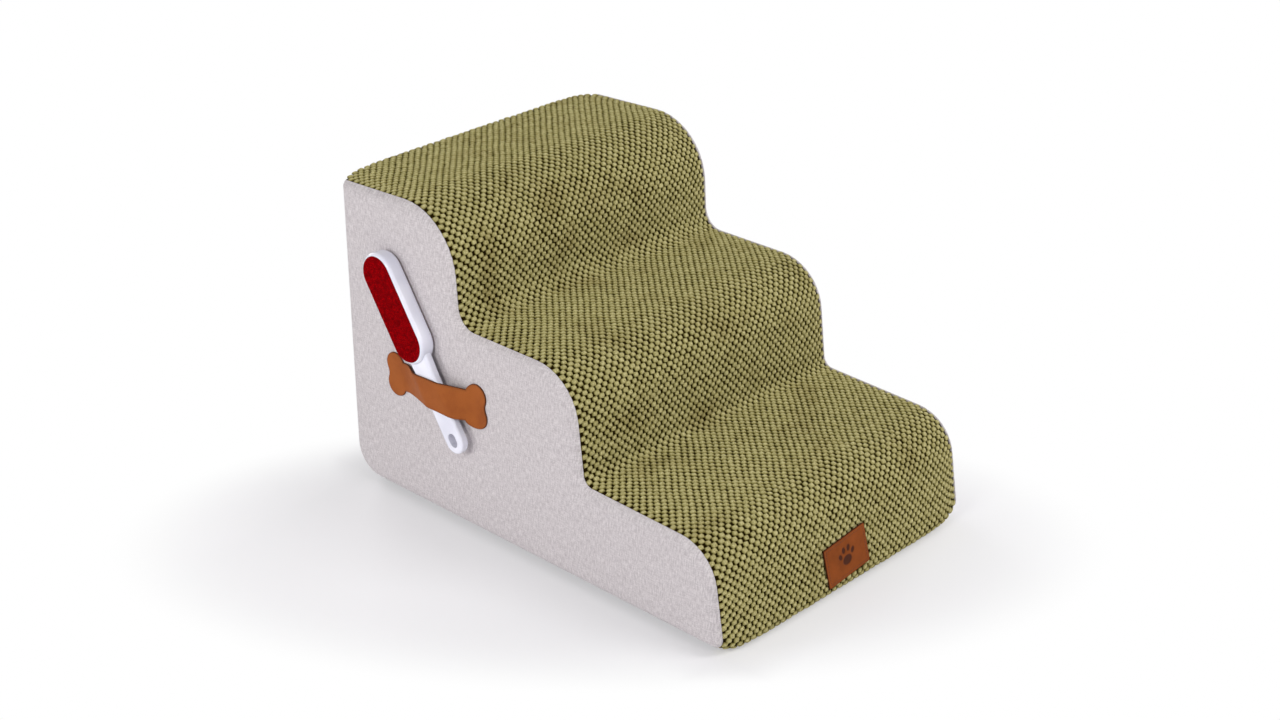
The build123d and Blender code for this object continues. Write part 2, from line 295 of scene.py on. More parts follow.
@dataclass(frozen=True)
class Finish:
    """A surface finish, made once as a node material."""

    title: str
    slot: Slot

    def shader_inputs(self, maker: NodeMaker) -> Inputs:
        """Give the inputs of the surface's shader, made with its tree's maker."""
        raise NotImplementedError

    def material(self) -> bpy.types.Material:
        """Make the material, or take it where it was made before.

        Returns:
            The material.
        """
        made = bpy.data.materials.get(self.title)
        if made is None:
            made = bpy.data.materials.new(self.title)
            maker = emptied(made)
            shader = maker.node("ShaderNodeBsdfPrincipled", {}, self.shader_inputs(maker))
            maker.node("ShaderNodeOutputMaterial", {}, {"Surface": shader.out()})
        return made


@dataclass(frozen=True)
class KnitFinish(Finish):
    """Chenille yarn: bright on the lumps, with a painted highlight on their tops and painted shade in the
    pits between them.
    """

    # The pit colour is painted shade in the pits and on the ground cloth; the crest colour is a painted
    # highlight on the tops of the lumps.
    painted_pit_shade: Colour = colour(40, 28, 0)
    flank: Colour = colour(148, 139, 82)
    crest: Colour = colour(214, 205, 152)
    patch_tone: Colour = colour(172, 152, 112)
    yarn: Noise = Noise(950.0, 3.0, 0.6)
    yarn_band: Band = (0.3, 0.62)
    pit_shade_band: Band = (0.06, 0.62)
    painted_highlight_band: Band = (0.5, 0.98)
    shade_share: float = 0.3
    patches: Noise = Noise(14.0, 3.0, 0.55)
    patch_band: Band = (0.5, 0.75)
    patch_share: float = 0.35
    fuzz: Relief = Relief(1.0, 0.9 * MM)

    def shader_inputs(self, maker: NodeMaker) -> Inputs:
        """Give the yarn's inputs.

        Args:
            maker: The maker of its tree.

        Returns:
            Values by the input's name.
        """
        place = maker.place()
        rise = maker.attribute("lump_rise")
        yarn = maker.noise(place, self.yarn)
        # Painted shade darkens each lump towards its foot, and a painted highlight lightens its top.
        body = maker.mix(rise.ramp(self.pit_shade_band), self.painted_pit_shade, self.flank)
        lit = maker.mix(rise.ramp(self.painted_highlight_band) * yarn.ramp(self.yarn_band), body, self.crest)
        varied = maker.mix(maker.attribute("lump_shade") * self.shade_share, lit, self.flank)
        # Darker, browner patches at random over the knit.
        patches = maker.noise(place, self.patches).ramp(self.patch_band) * self.patch_share
        return {
            "Base Color": maker.mix(patches, varied, self.patch_tone, "MULTIPLY"),
            "Roughness": 0.92,
            "Specular IOR Level": 0.05,
            "Normal": maker.bump(yarn, self.fuzz),
        }


@dataclass(frozen=True)
class LinenFinish(Finish):
    """Heathered linen weave with slubs up and down and a few across."""

    light: Colour = colour(215, 209, 210)
    dark: Colour = colour(176, 168, 171)
    thread_pitch: float = 1.15 * MM
    weave_depth: float = 0.25
    sway: Noise = Noise(45.0)
    slub: Noise = Noise(1.0, 3.0, 0.6)
    slub_rates: tuple[float, float] = (720.0, 120.0)
    cross_rates: tuple[float, float] = (130.0, 640.0)
    cross_layer: float = 4.0
    heather: Noise = Noise(800.0, 2.0, 0.6)
    tone_shares: Triple = (0.45, 0.25, 0.3)
    tone_band: Band = (0.36, 0.64)
    height_shares: tuple[float, float] = (0.6, 0.5)
    relief: Relief = Relief(0.55, 0.35 * MM)

    def shader_inputs(self, maker: NodeMaker) -> Inputs:
        """Give the weave's inputs.

        Args:
            maker: The maker of its tree.

        Returns:
            Values by the input's name.
        """
        across, up, _ = maker.split(maker.node("ShaderNodeUVMap", {"uv_map": CHART}).out())
        flat = maker.combine(across, up, 0.0)
        sway = maker.noise(flat, self.sway) * MM
        warp, weft = (((way + sway) * (TURN / self.thread_pitch)).sine() for way in (across, up))
        weave = warp * weft * self.weave_depth + 0.5
        slubs, cross_slubs = (
            maker.noise(maker.combine(across * rates[0], up * rates[1], layer), self.slub)
            for rates, layer in ((self.slub_rates, 0.0), (self.cross_rates, self.cross_layer))
        )
        slub_tone, cross_tone, heather_tone = self.tone_shares
        heather = maker.noise(flat, self.heather)
        tone = slubs * slub_tone + cross_slubs * cross_tone + heather * heather_tone
        height = weave * self.height_shares[0] + slubs * self.height_shares[1]
        return {
            "Base Color": maker.mix(tone.ramp(self.tone_band), self.dark, self.light),
            "Roughness": 0.9,
            "Sheen Weight": 0.15,
            "Specular IOR Level": 0.2,
            "Normal": maker.bump(height, self.relief),
        }


@dataclass(frozen=True)
class ClothFinish(Finish):
    """Plain woven cloth in one shade, for the base sheet, tapes and thread."""

    light: Colour
    dark: Colour
    thread_pitch: float = 0.9 * MM
    mottle: Noise = Noise(420.0, 3.0, 0.6)
    tone_band: Band = (0.25, 0.75)
    relief: Relief = Relief(0.5, 0.3 * MM)

    def shader_inputs(self, maker: NodeMaker) -> Inputs:
        """Give the cloth's inputs.

        Args:
            maker: The maker of its tree.

        Returns:
            Values by the input's name.
        """
        place = maker.place()
        x, y, up = maker.split(place)
        rate = TURN / self.thread_pitch
        weave = ((x * rate).sine() * ((y + up) * rate).sine()).within((0.5, 1.0))
        tone = (weave + maker.noise(place, self.mottle)) / 2
        return {
            "Base Color": maker.mix(tone.ramp(self.tone_band), self.dark, self.light),
            "Roughness": 0.86,
            "Specular IOR Level": 0.2,
            "Normal": maker.bump(tone, self.relief),
        }


@dataclass(frozen=True)
class FoamFinish(Finish):
    """Open-cell upholstery foam, with painted shade in the low parts of its cells."""

    light: Colour = colour(232, 226, 204)
    cell: Colour = colour(196, 186, 156)
    cell_scale: float = 900.0
    cell_band: Band = (0.0, 0.6)
    pore_shade_share: float = 0.7
    cloud: Noise = Noise(30.0, 3.0)
    relief: Relief = Relief(0.6, 0.4 * MM)

    def shader_inputs(self, maker: NodeMaker) -> Inputs:
        """Give the foam's inputs.

        Args:
            maker: The maker of its tree.

        Returns:
            Values by the input's name.
        """
        place = maker.place()
        depth = maker.cells(place, self.cell_scale).ramp(self.cell_band)
        # The cell colour is partly painted shade, darker where the bump is low, and partly random cloudy
        # tone.
        tone = depth * self.pore_shade_share + maker.noise(place, self.cloud) * (1 - self.pore_shade_share)
        return {
            "Base Color": maker.mix(tone, self.light, self.cell),
            "Roughness": 0.95,
            "Normal": maker.bump(1.0 - depth, self.relief),
        }


@dataclass(frozen=True)
class LeatherFinish(Finish):
    """Smooth leather with a fine grain and a darker cut edge."""

    light: Colour = colour(162, 90, 42)
    dark: Colour = colour(148, 80, 38)
    edge: Colour = colour(92, 52, 32)
    pressed: Colour = colour(74, 38, 24)
    clouds: Noise = Noise(34.0, 4.0, 0.6)
    cloud_band: Band = (0.35, 0.7)
    grain_scale: float = 1100.0
    grain_band: Band = (0.0, 0.7)
    grain_share: float = 0.12
    creases: Noise = Noise(260.0, 4.0, 0.65)
    roughness: Band = (0.42, 0.67)
    edge_roughness: float = 0.12
    relief: Relief = Relief(0.3, 0.22 * MM)

    def shader_inputs(self, maker: NodeMaker) -> Inputs:
        """Give the leather's inputs.

        Args:
            maker: The maker of its tree.

        Returns:
            Values by the input's name.
        """
        place = maker.place()
        grain = maker.cells(place, self.grain_scale).ramp(self.grain_band)
        creases = maker.noise(place, self.creases)
        face = maker.mix(maker.noise(place, self.clouds).ramp(self.cloud_band), self.light, self.dark)
        grained = maker.mix(grain * self.grain_share, face, self.edge)
        stamped = maker.mix(maker.attribute("pressed"), grained, self.pressed)
        edge = maker.attribute("cut_edge")
        return {
            "Base Color": maker.mix(edge, stamped, self.edge),
            "Roughness": creases.within(self.roughness) + edge * self.edge_roughness,
            "Specular IOR Level": 0.06,
            "Normal": maker.bump((grain + creases) / 2, self.relief),
        }


@dataclass(frozen=True)
class PlasticFinish(Finish):
    """Glossy moulded plastic with the faint waviness of a moulding."""

    base: Colour = colour(235, 235, 246)
    shade: Colour = colour(221, 221, 235)
    waves: Noise = Noise(26.0, 1.0)
    wave_band: Band = (0.3, 0.7)
    dust: Noise = Noise(900.0)
    roughness: Band = (0.16, 0.24)
    relief: Relief = Relief(0.15, 0.4 * MM)

    def shader_inputs(self, maker: NodeMaker) -> Inputs:
        """Give the plastic's inputs.

        Args:
            maker: The maker of its tree.

        Returns:
            Values by the input's name.
        """
        place = maker.place()
        waves = maker.noise(place, self.waves)
        return {
            "Base Color": maker.mix(waves.ramp(self.wave_band), self.base, self.shade),
            "Roughness": maker.noise(place, self.dust).within(self.roughness),
            "Coat Weight": 0.3,
            "Normal": maker.bump(waves, self.relief),
        }


@dataclass(frozen=True)
class NapFinish(Finish):
    """Short one-way nap, with painted shade at its roots and a painted glint on a few tips."""

    painted_root_shade: Colour = colour(118, 0, 6)
    fibre: Colour = colour(230, 0, 16)
    glint: Colour = colour(250, 60, 50)
    painted_root_shade_band: Band = (0.0, 0.6)
    brushed: Noise = Noise(210.0, 3.0, 0.6)
    brushed_band: Band = (0.36, 0.58)
    glint_band: Band = (0.9, 0.99)
    glint_share: float = 0.6
    fuzz: Noise = Noise(1400.0)
    relief: Relief = Relief(0.4, 0.2 * MM)

    def shader_inputs(self, maker: NodeMaker) -> Inputs:
        """Give the nap's inputs.

        Args:
            maker: The maker of its tree.

        Returns:
            Values by the input's name.
        """
        place = maker.place()
        rise = maker.attribute("tuft_rise")
        brushed = maker.noise(place, self.brushed).ramp(self.brushed_band)
        # Painted shade darkens each tuft towards its root; a painted glint lights the tips of a few tufts.
        body = maker.mix(rise.ramp(self.painted_root_shade_band) * brushed, self.painted_root_shade, self.fibre)
        glint = maker.attribute("tuft_shade").ramp(self.glint_band) * rise * self.glint_share
        return {
            "Base Color": maker.mix(glint, body, self.glint),
            "Roughness": 0.8,
            "Specular IOR Level": 0.02,
            "Normal": maker.bump(maker.noise(place, self.fuzz), self.relief),
        }


@dataclass(frozen=True)
class MetalFinish(Finish):
    """Satin nickel, rubbed a little darker in random patches."""

    bright: Colour = colour(196, 195, 198)
    dull: Colour = colour(140, 139, 142)
    rub_rates: Triple = (300.0, 300.0, 2400.0)
    rub: Noise = Noise(1.0, 3.0)
    rub_band: Band = (0.3, 0.7)
    roughness: Band = (0.26, 0.46)
    relief: Relief = Relief(0.2, 0.1 * MM)

    def shader_inputs(self, maker: NodeMaker) -> Inputs:
        """Give the metal's inputs.

        Args:
            maker: The maker of its tree.

        Returns:
            Values by the input's name.
        """
        rubbed = maker.noise(maker.vector("MULTIPLY", maker.place(), self.rub_rates), self.rub)
        return {
            "Base Color": maker.mix(rubbed.ramp(self.rub_band), self.bright, self.dull),
            "Metallic": 1.0,
            "Roughness": rubbed.within(self.roughness),
            "Normal": maker.bump(rubbed, self.relief),
        }


@dataclass(frozen=True)
class MouldedFinish(Finish):
    """Satin moulded nylon or rubber."""

    base: Colour
    shade: Colour
    roughness: Band
    mottle: Noise = Noise(700.0)
    relief: Relief = Relief(0.2, 0.1 * MM)

    def shader_inputs(self, maker: NodeMaker) -> Inputs:
        """Give the moulding's inputs.

        Args:
            maker: The maker of its tree.

        Returns:
            Values by the input's name.
        """
        mottle = maker.noise(maker.place(), self.mottle)
        return {
            "Base Color": maker.mix(mottle, self.base, self.shade),
            "Roughness": mottle.within(self.roughness),
            "Normal": maker.bump(mottle, self.relief),
        }


KNIT = KnitFinish("knit_yarn", Slot.KNIT)
LINEN = LinenFinish("linen_weave", Slot.LINEN)
THREAD = ClothFinish("linen_thread", Slot.LINEN, colour(226, 221, 221), colour(196, 190, 190), 0.4 * MM)
NON_SLIP_CLOTH = ClothFinish(
    "non_slip_cloth",
    Slot.NON_SLIP,
    light=colour(138, 136, 137),
    dark=colour(108, 106, 107),
)
NON_SLIP_RUBBER = MouldedFinish(
    "non_slip_rubber",
    Slot.NON_SLIP,
    base=colour(96, 95, 97),
    shade=colour(76, 75, 77),
    roughness=(0.6, 0.75),
)
TAPE = ClothFinish(
    "zipper_tape_weave",
    Slot.ZIPPER_TAPE,
    light=colour(190, 185, 186),
    dark=colour(160, 154, 155),
    thread_pitch=0.7 * MM,
)
COIL = MouldedFinish(
    "zipper_coil_nylon",
    Slot.ZIPPER_COIL,
    base=colour(160, 156, 157),
    shade=colour(140, 136, 137),
    roughness=(0.38, 0.53),
)
METAL = MetalFinish("zipper_nickel", Slot.ZIPPER_METAL)
FOAM = FoamFinish("foam_cells", Slot.FOAM)
STRAP_LEATHER = LeatherFinish("strap_leather", Slot.LEATHER)
LABEL_LEATHER = LeatherFinish(
    "label_leather",
    Slot.LEATHER,
    light=colour(148, 76, 30),
    dark=colour(130, 66, 25),
    edge=colour(70, 32, 16),
)
LABEL_THREAD = MouldedFinish(
    "label_thread",
    Slot.LEATHER,
    base=colour(96, 48, 30),
    shade=colour(70, 34, 22),
    roughness=(0.7, 0.85),
)
PLASTIC = PlasticFinish("brush_white_plastic", Slot.BRUSH_PLASTIC)
NAP = NapFinish("brush_red_nap", Slot.NAP)


def install(
    piece: bpy.types.Object,
    body: Body,
    replaced: Sequence[str] = (),
    fill: float | None = None,
) -> None:
    """Attach a finished piece to its body, and hide the CAD nodes that it stands for.

    Args:
        piece: The piece's object.
        body: The body that it moves with.
        replaced: The CAD nodes that it stands for.
        fill: How tightly it is stuffed, where it is padded. It is not used.
    """
    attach(piece, body.value)
    if replaced:
        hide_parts(*replaced)
    piece.data.calc_loop_triangles()
    LOG.info("%s: %d triangles on %s", piece.name, len(piece.data.loop_triangles), body.value)


def dress(finish: Finish, *nodes: str) -> None:
    """Give CAD nodes that stay a better material.

    Args:
        finish: The finish.
        nodes: The nodes' names.
    """
    for node in nodes:
        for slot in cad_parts[node].material_slots:
            slot.material = finish.material()
        LOG.info("%s: dressed as %s", node, finish.title)


def new_object(name: str, data: bpy.types.ID) -> bpy.types.Object:
    """Link a mesh, light or camera to the scene as an object at the origin.

    Args:
        name: The object's name.
        data: What it shows.

    Returns:
        The object.
    """
    data.name = name
    made = bpy.data.objects.new(name, data)
    bpy.context.scene.collection.objects.link(made)
    return made


def drop(*objects: bpy.types.Object) -> None:
    """Remove working objects that aren't part of the model."""
    for unwanted in objects:
        bpy.data.objects.remove(unwanted)


def evaluated(host: bpy.types.Object) -> bpy.types.Mesh:
    """Take a new plain mesh of what an object's modifiers give.

    Args:
        host: The object.

    Returns:
        The mesh.
    """
    graph = bpy.context.evaluated_depsgraph_get()
    live = host.evaluated_get(graph)
    return bpy.data.meshes.new_from_object(live, preserve_all_data_layers=True, depsgraph=graph)


class MeshPlan:
    """Points, faces and numbers of a mesh that is being worked out."""

    def __init__(self) -> None:
        """Start with nothing."""
        self.points: list[Vector] = []
        self.faces: list[tuple[int, ...]] = []
        self.numbers: dict[str, list[float]] = {}
        self.charts: list[tuple[float, float]] = []

    def add_row(self, row: Iterable[Vector]) -> list[int]:
        """Add points.

        Args:
            row: The points.

        Returns:
            Their places in the mesh.
        """
        start = len(self.points)
        self.points += list(row)
        return list(range(start, len(self.points)))

    def add_section(self, x: float, outline: Iterable[Vector]) -> list[int]:
        """Add the points of an outline that is seen from the side, at a place across the stairs."""
        return self.add_row(Vector((x, *point)) for point in outline)

    def skin(self, rows: Sequence[Sequence[int]], closed: bool = False) -> None:
        """Fill the bands between rows of points with quads.

        Args:
            rows: The places of each row's points.
            closed: Whether the rows run round.
        """
        for first, second in zip(rows, rows[1:]):
            for place in range(len(first) if closed else len(first) - 1):
                after = (place + 1) % len(first)
                self.faces.append((first[place], first[after], second[after], second[place]))

    def build(self, name: str, finish: Finish | None = None) -> bpy.types.Object:
        """Make the object, smooth and with its finish.

        Args:
            name: The object's name.
            finish: Its finish, if it shows.

        Returns:
            The object.
        """
        mesh = bpy.data.meshes.new(name)
        mesh.from_pydata([tuple(point) for point in self.points], [], self.faces)
        for title, values in self.numbers.items():
            layer = mesh.attributes.new(title, "FLOAT", "POINT")
            layer.data.foreach_set("value", values)
        if self.charts:
            layer = mesh.uv_layers.new(name=CHART)
            corners = [self.charts[loop.vertex_index] for loop in mesh.loops]
            layer.data.foreach_set("uv", [share for corner in corners for share in corner])
        if finish:
            mesh.materials.append(finish.material())
        mesh.shade_smooth()
        mesh.update()
        return new_object(name, mesh)

    def build_sheet(self, name: str, finish: Finish) -> bpy.types.Object:
        """Make an open sheet whose faces look away from the inside of the stairs.

        Args:
            name: The object's name.
            finish: Its finish.

        Returns:
            The object.
        """
        sheet = self.build(name, finish)
        faces = sheet.data.polygons
        if sum((face.center - INSIDE_STAIRS).dot(face.normal) * face.area for face in faces) < 0:
            sheet.data.flip_normals()
        return sheet

    def build_shell(self, name: str, finish: Finish | None = None) -> bpy.types.Object:
        """Make closed shells whose faces look outwards.

        Args:
            name: The object's name.
            finish: Its finish, if it shows.

        Returns:
            The object.
        """
        shell = self.build(name, finish)
        work = bmesh.new()
        work.from_mesh(shell.data)
        bmesh.ops.recalc_face_normals(work, faces=work.faces)
        work.to_mesh(shell.data)
        work.free()
        return shell


def thickened(sheet: bpy.types.Object, thickness: float) -> bpy.types.Object:
    """Give an open sheet its thickness, inwards.

    Args:
        sheet: The sheet, with its faces outwards.
        thickness: How thick it becomes.

    Returns:
        The closed shell under the sheet's name.
    """
    name = sheet.name
    wall = sheet.modifiers.new("wall", "SOLIDIFY")
    wall.thickness = thickness
    wall.offset = -1.0
    mesh = evaluated(sheet)
    drop(sheet)
    return new_object(name, mesh)


def followed_lines(*lines: Sequence[Vector]) -> bpy.types.Object:
    """Make a working object of edges, for a tree to follow.

    Args:
        lines: The points of each line.

    Returns:
        The object.
    """
    edges = []
    start = 0
    for line in lines:
        edges += [(start + place, start + place + 1) for place in range(len(line) - 1)]
        start += len(line)
    mesh = bpy.data.meshes.new("followed_lines")
    mesh.from_pydata([tuple(point) for line in lines for point in line], edges, [])
    return new_object("followed_lines", mesh)


def spread_shares(count: int) -> list[float]:
    """Divide -1 to 1 in parts that grow smaller towards both ends."""
    return [math.sin((2 * place / count - 1) * math.pi / 2) for place in range(count + 1)]


def run_points(start: Vector, end: Vector, count: int) -> list[Vector]:
    """Divide a straight run, and give its points without the first."""
    return [start.lerp(end, place / count) for place in range(1, count + 1)]


def arc_points(centre: Vector, start: Vector, end: Vector, count: int) -> list[Vector]:
    """Divide an arc.

    Args:
        centre: The middle of its circle.
        start: Its start, which isn't given back.
        end: Its end, which is.
        count: How many parts.

    Returns:
        The points.
    """
    first = start - centre
    last = end - centre
    sweep = math.atan2(first.x * last.y - first.y * last.x, first.dot(last))
    return [centre + Matrix.Rotation(sweep * place / count, 2) @ first for place in range(1, count + 1)]


def rounded_path(
    corners: Sequence[Vector],
    radii: Sequence[float],
    run_counts: Sequence[int],
    arc_count: int,
) -> list[Vector]:
    """Follow straight runs that are joined by arcs.

    Args:
        corners: Both ends, and the corners between them.
        radii: The radius at each corner.
        run_counts: How many parts each run has.
        arc_count: How many parts each arc has.

    Returns:
        The points, as many for any size of the same path.
    """
    points = [corners[0]]
    for place, radius in enumerate(radii):
        before, corner, after = corners[place : place + 3]
        to_before = (before - corner).normalized()
        to_after = (after - corner).normalized()
        half = to_before.angle(to_after) / 2
        reach = radius / math.tan(half)
        centre = corner + (to_before + to_after).normalized() * (radius / math.sin(half))
        arc_start = corner + to_before * reach
        points += run_points(points[-1], arc_start, run_counts[place])
        points += arc_points(centre, arc_start, corner + to_after * reach, arc_count)
    return points + run_points(points[-1], corners[-1], run_counts[-1])


def rounded_rectangle(
    width: float,
    height: float,
    corner: float,
    step: float,
    least_arc_count: int = 4,
) -> list[Vector]:
    """Follow a rectangle with round corners, the left way round.

    Args:
        width: Its width.
        height: Its height.
        corner: The radius of its corners.
        step: How far apart its points are on the straights.
        least_arc_count: The fewest parts of a corner.

    Returns:
        The outline's points.
    """
    half = Vector((width / 2, height / 2))
    start = Vector((0.0, -half.y))
    ways = ((1, -1), (1, 1), (-1, 1), (-1, -1))
    corners = [start, *(Vector((half.x * right, half.y * up)) for right, up in ways), start]
    counts = [math.ceil((after - before).length / step) for before, after in zip(corners, corners[1:])]
    arc_count = max(math.ceil(corner * math.pi / 2 / step), least_arc_count)
    return rounded_path(corners, [corner] * len(ways), counts, arc_count)[:-1]


def path_lengths(points: Sequence[Vector]) -> list[float]:
    """Measure the length from a path's start to each of its points."""
    steps = ((after - before).length for before, after in zip(points, points[1:]))
    return list(accumulate(steps, initial=0.0))


@dataclass(frozen=True)
class Drops:
    """How far the form has dropped at a place across the stairs."""

    steps: float
    flats: float


@dataclass(frozen=True)
class StairForm:
    """Outside form of the padded stairs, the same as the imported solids'."""

    corners: Profile = (
        (-0.300, 0.000),
        (0.300, 0.000),
        (0.300, 0.384),
        (0.105, 0.393),
        (0.097, 0.260),
        (-0.080, 0.261),
        (-0.095, 0.135),
        (-0.279, 0.130),
    )
    radii: tuple[float, ...] = (0.012, 0.038, 0.006, 0.077, 0.024, 0.062, 0.012, 0.053)
    valleys: tuple[int, ...] = (4, 6)
    flat_sides: tuple[int, ...] = (0, 1)
    run_parts: tuple[int, ...] = (24, 16, 16, 8, 14, 8, 16, 8)
    arc_parts: int = 10
    half_width: float = 0.202
    steps_drop: float = 0.0055
    flat_drop: float = 0.0095
    seam_turn: float = 0.030
    crown_power: float = 6.5
    side_bulge: float = 0.010
    bulge_reach: float = 0.040
    least_radius_share: float = 0.25
    bulge_rises: tuple[float, ...] = (0.0, 0.55, 0.85, 0.97, 1.0)
    bulge_reaches: tuple[float, ...] = (0.0, 0.1, 0.28, 0.6, 1.0)

    @property
    def front(self) -> float:
        """Give the Y of the front."""
        return self.corners[0][0]

    @property
    def back(self) -> float:
        """Give the Y of the back."""
        return self.corners[1][0]

    def moved_in(self, drops: Drops, inset: float) -> tuple[list[Vector], list[float]]:
        """Move every side of the outline in by its drop and the inset.

        Args:
            drops: How far the form has dropped here.
            inset: How far every side moves in.

        Returns:
            The corners and their radii.
        """
        corners = [Vector(corner) for corner in self.corners]
        sides = []
        for place, start in enumerate(corners):
            along = (corners[(place + 1) % len(corners)] - start).normalized()
            inward = Vector((-along.y, along.x))
            drop_here = drops.flats if place in self.flat_sides else drops.steps
            sides.append((start + inward * (inset + drop_here), along))
        moved = []
        for place, (start, along) in enumerate(sides):
            other, other_along = sides[place - 1]
            gap = other - start
            turn = along.x * other_along.y - along.y * other_along.x
            reach = (gap.x * other_along.y - gap.y * other_along.x) / turn
            moved.append(start + along * reach)
        radii = [
            radius + inset if place in self.valleys else max(radius - inset, radius * self.least_radius_share)
            for place, radius in enumerate(self.radii)
        ]
        return moved, radii

    def loop(self, drops: Drops, inset: float) -> list[Vector]:
        """Follow the whole outline once round, from the middle of its floor.

        Args:
            drops: How far the form has dropped here.
            inset: How far every side moves in.

        Returns:
            The points, the first not repeated.
        """
        corners, radii = self.moved_in(drops, inset)
        middle = (corners[0] + corners[1]) / 2
        path = [middle, *corners[1:], corners[0], middle]
        counts = [self.run_parts[0] // 2, *self.run_parts[1:], self.run_parts[0] // 2]
        return rounded_path(path, [*radii[1:], radii[0]], counts, self.arc_parts)[:-1]

    def turned_in(self, x: float) -> float:
        """Find how far the floor and back are drawn in.

        Args:
            x: The place across the stairs.

        Returns:
            The depth.
        """
        past_flat = max(abs(x) - (self.half_width - self.seam_turn), 0.0)
        radius = (self.seam_turn**2 + self.flat_drop**2) / (2 * self.flat_drop)
        return radius - math.sqrt(radius**2 - past_flat**2)

    def drops_at(self, x: float) -> Drops:
        """Give the drops at a place across."""
        return Drops(self.steps_drop * abs(x / self.half_width) ** self.crown_power, self.turned_in(x))

    def rim_loop(self, inset: float) -> list[Vector]:
        """Follow the outline at a side seam."""
        return self.loop(self.drops_at(self.half_width), inset)

    def columns(self, count: int) -> list[float]:
        """Place columns from seam to seam, closer together near the seams."""
        return [self.half_width * share for share in spread_shares(count)]

    def swell(self, parts: int) -> list[tuple[float, float]]:
        """Follow the swelling of a side from its rim to its flat middle.

        Args:
            parts: How many parts between each two of the form's own stations.

        Returns:
            Pairs of rise and reach after the rim's own, each a share of the whole.
        """
        stations = [Vector(pair) for pair in zip(self.bulge_rises, self.bulge_reaches)]
        padded = [stations[0] * 2 - stations[1], *stations, stations[-1] * 2 - stations[-2]]
        shares = []
        for place in range(1, len(padded) - 2):
            before, start, end, after = padded[place - 1 : place + 3]
            for part in range(1, parts + 1):
                way = part / parts
                point = (
                    start * 2
                    + (end - before) * way
                    + (before * 2 - start * 5 + end * 4 - after) * way**2
                    + (start * 3 - before - end * 3 + after) * way**3
                ) / 2
                shares.append((min(point.x, 1.0), min(point.y, 1.0)))
        return shares


FORM = StairForm()


def mapped_strip(columns: int, line_at: Callable[[float], list[Vector]]) -> MeshPlan:
    """Plan a strip from seam to seam, mapped by the place across and the length along.

    Args:
        columns: How many parts it has across.
        line_at: Its line at a place across, seen from the side.

    Returns:
        The plan.
    """
    plan = MeshPlan()
    lengths = path_lengths(line_at(0.0))
    rows = []
    for x in FORM.columns(columns):
        rows.append(plan.add_section(x, line_at(x)))
        plan.charts += [(x + CHART_MIDDLE, length) for length in lengths]
    plan.skin(rows)
    return plan


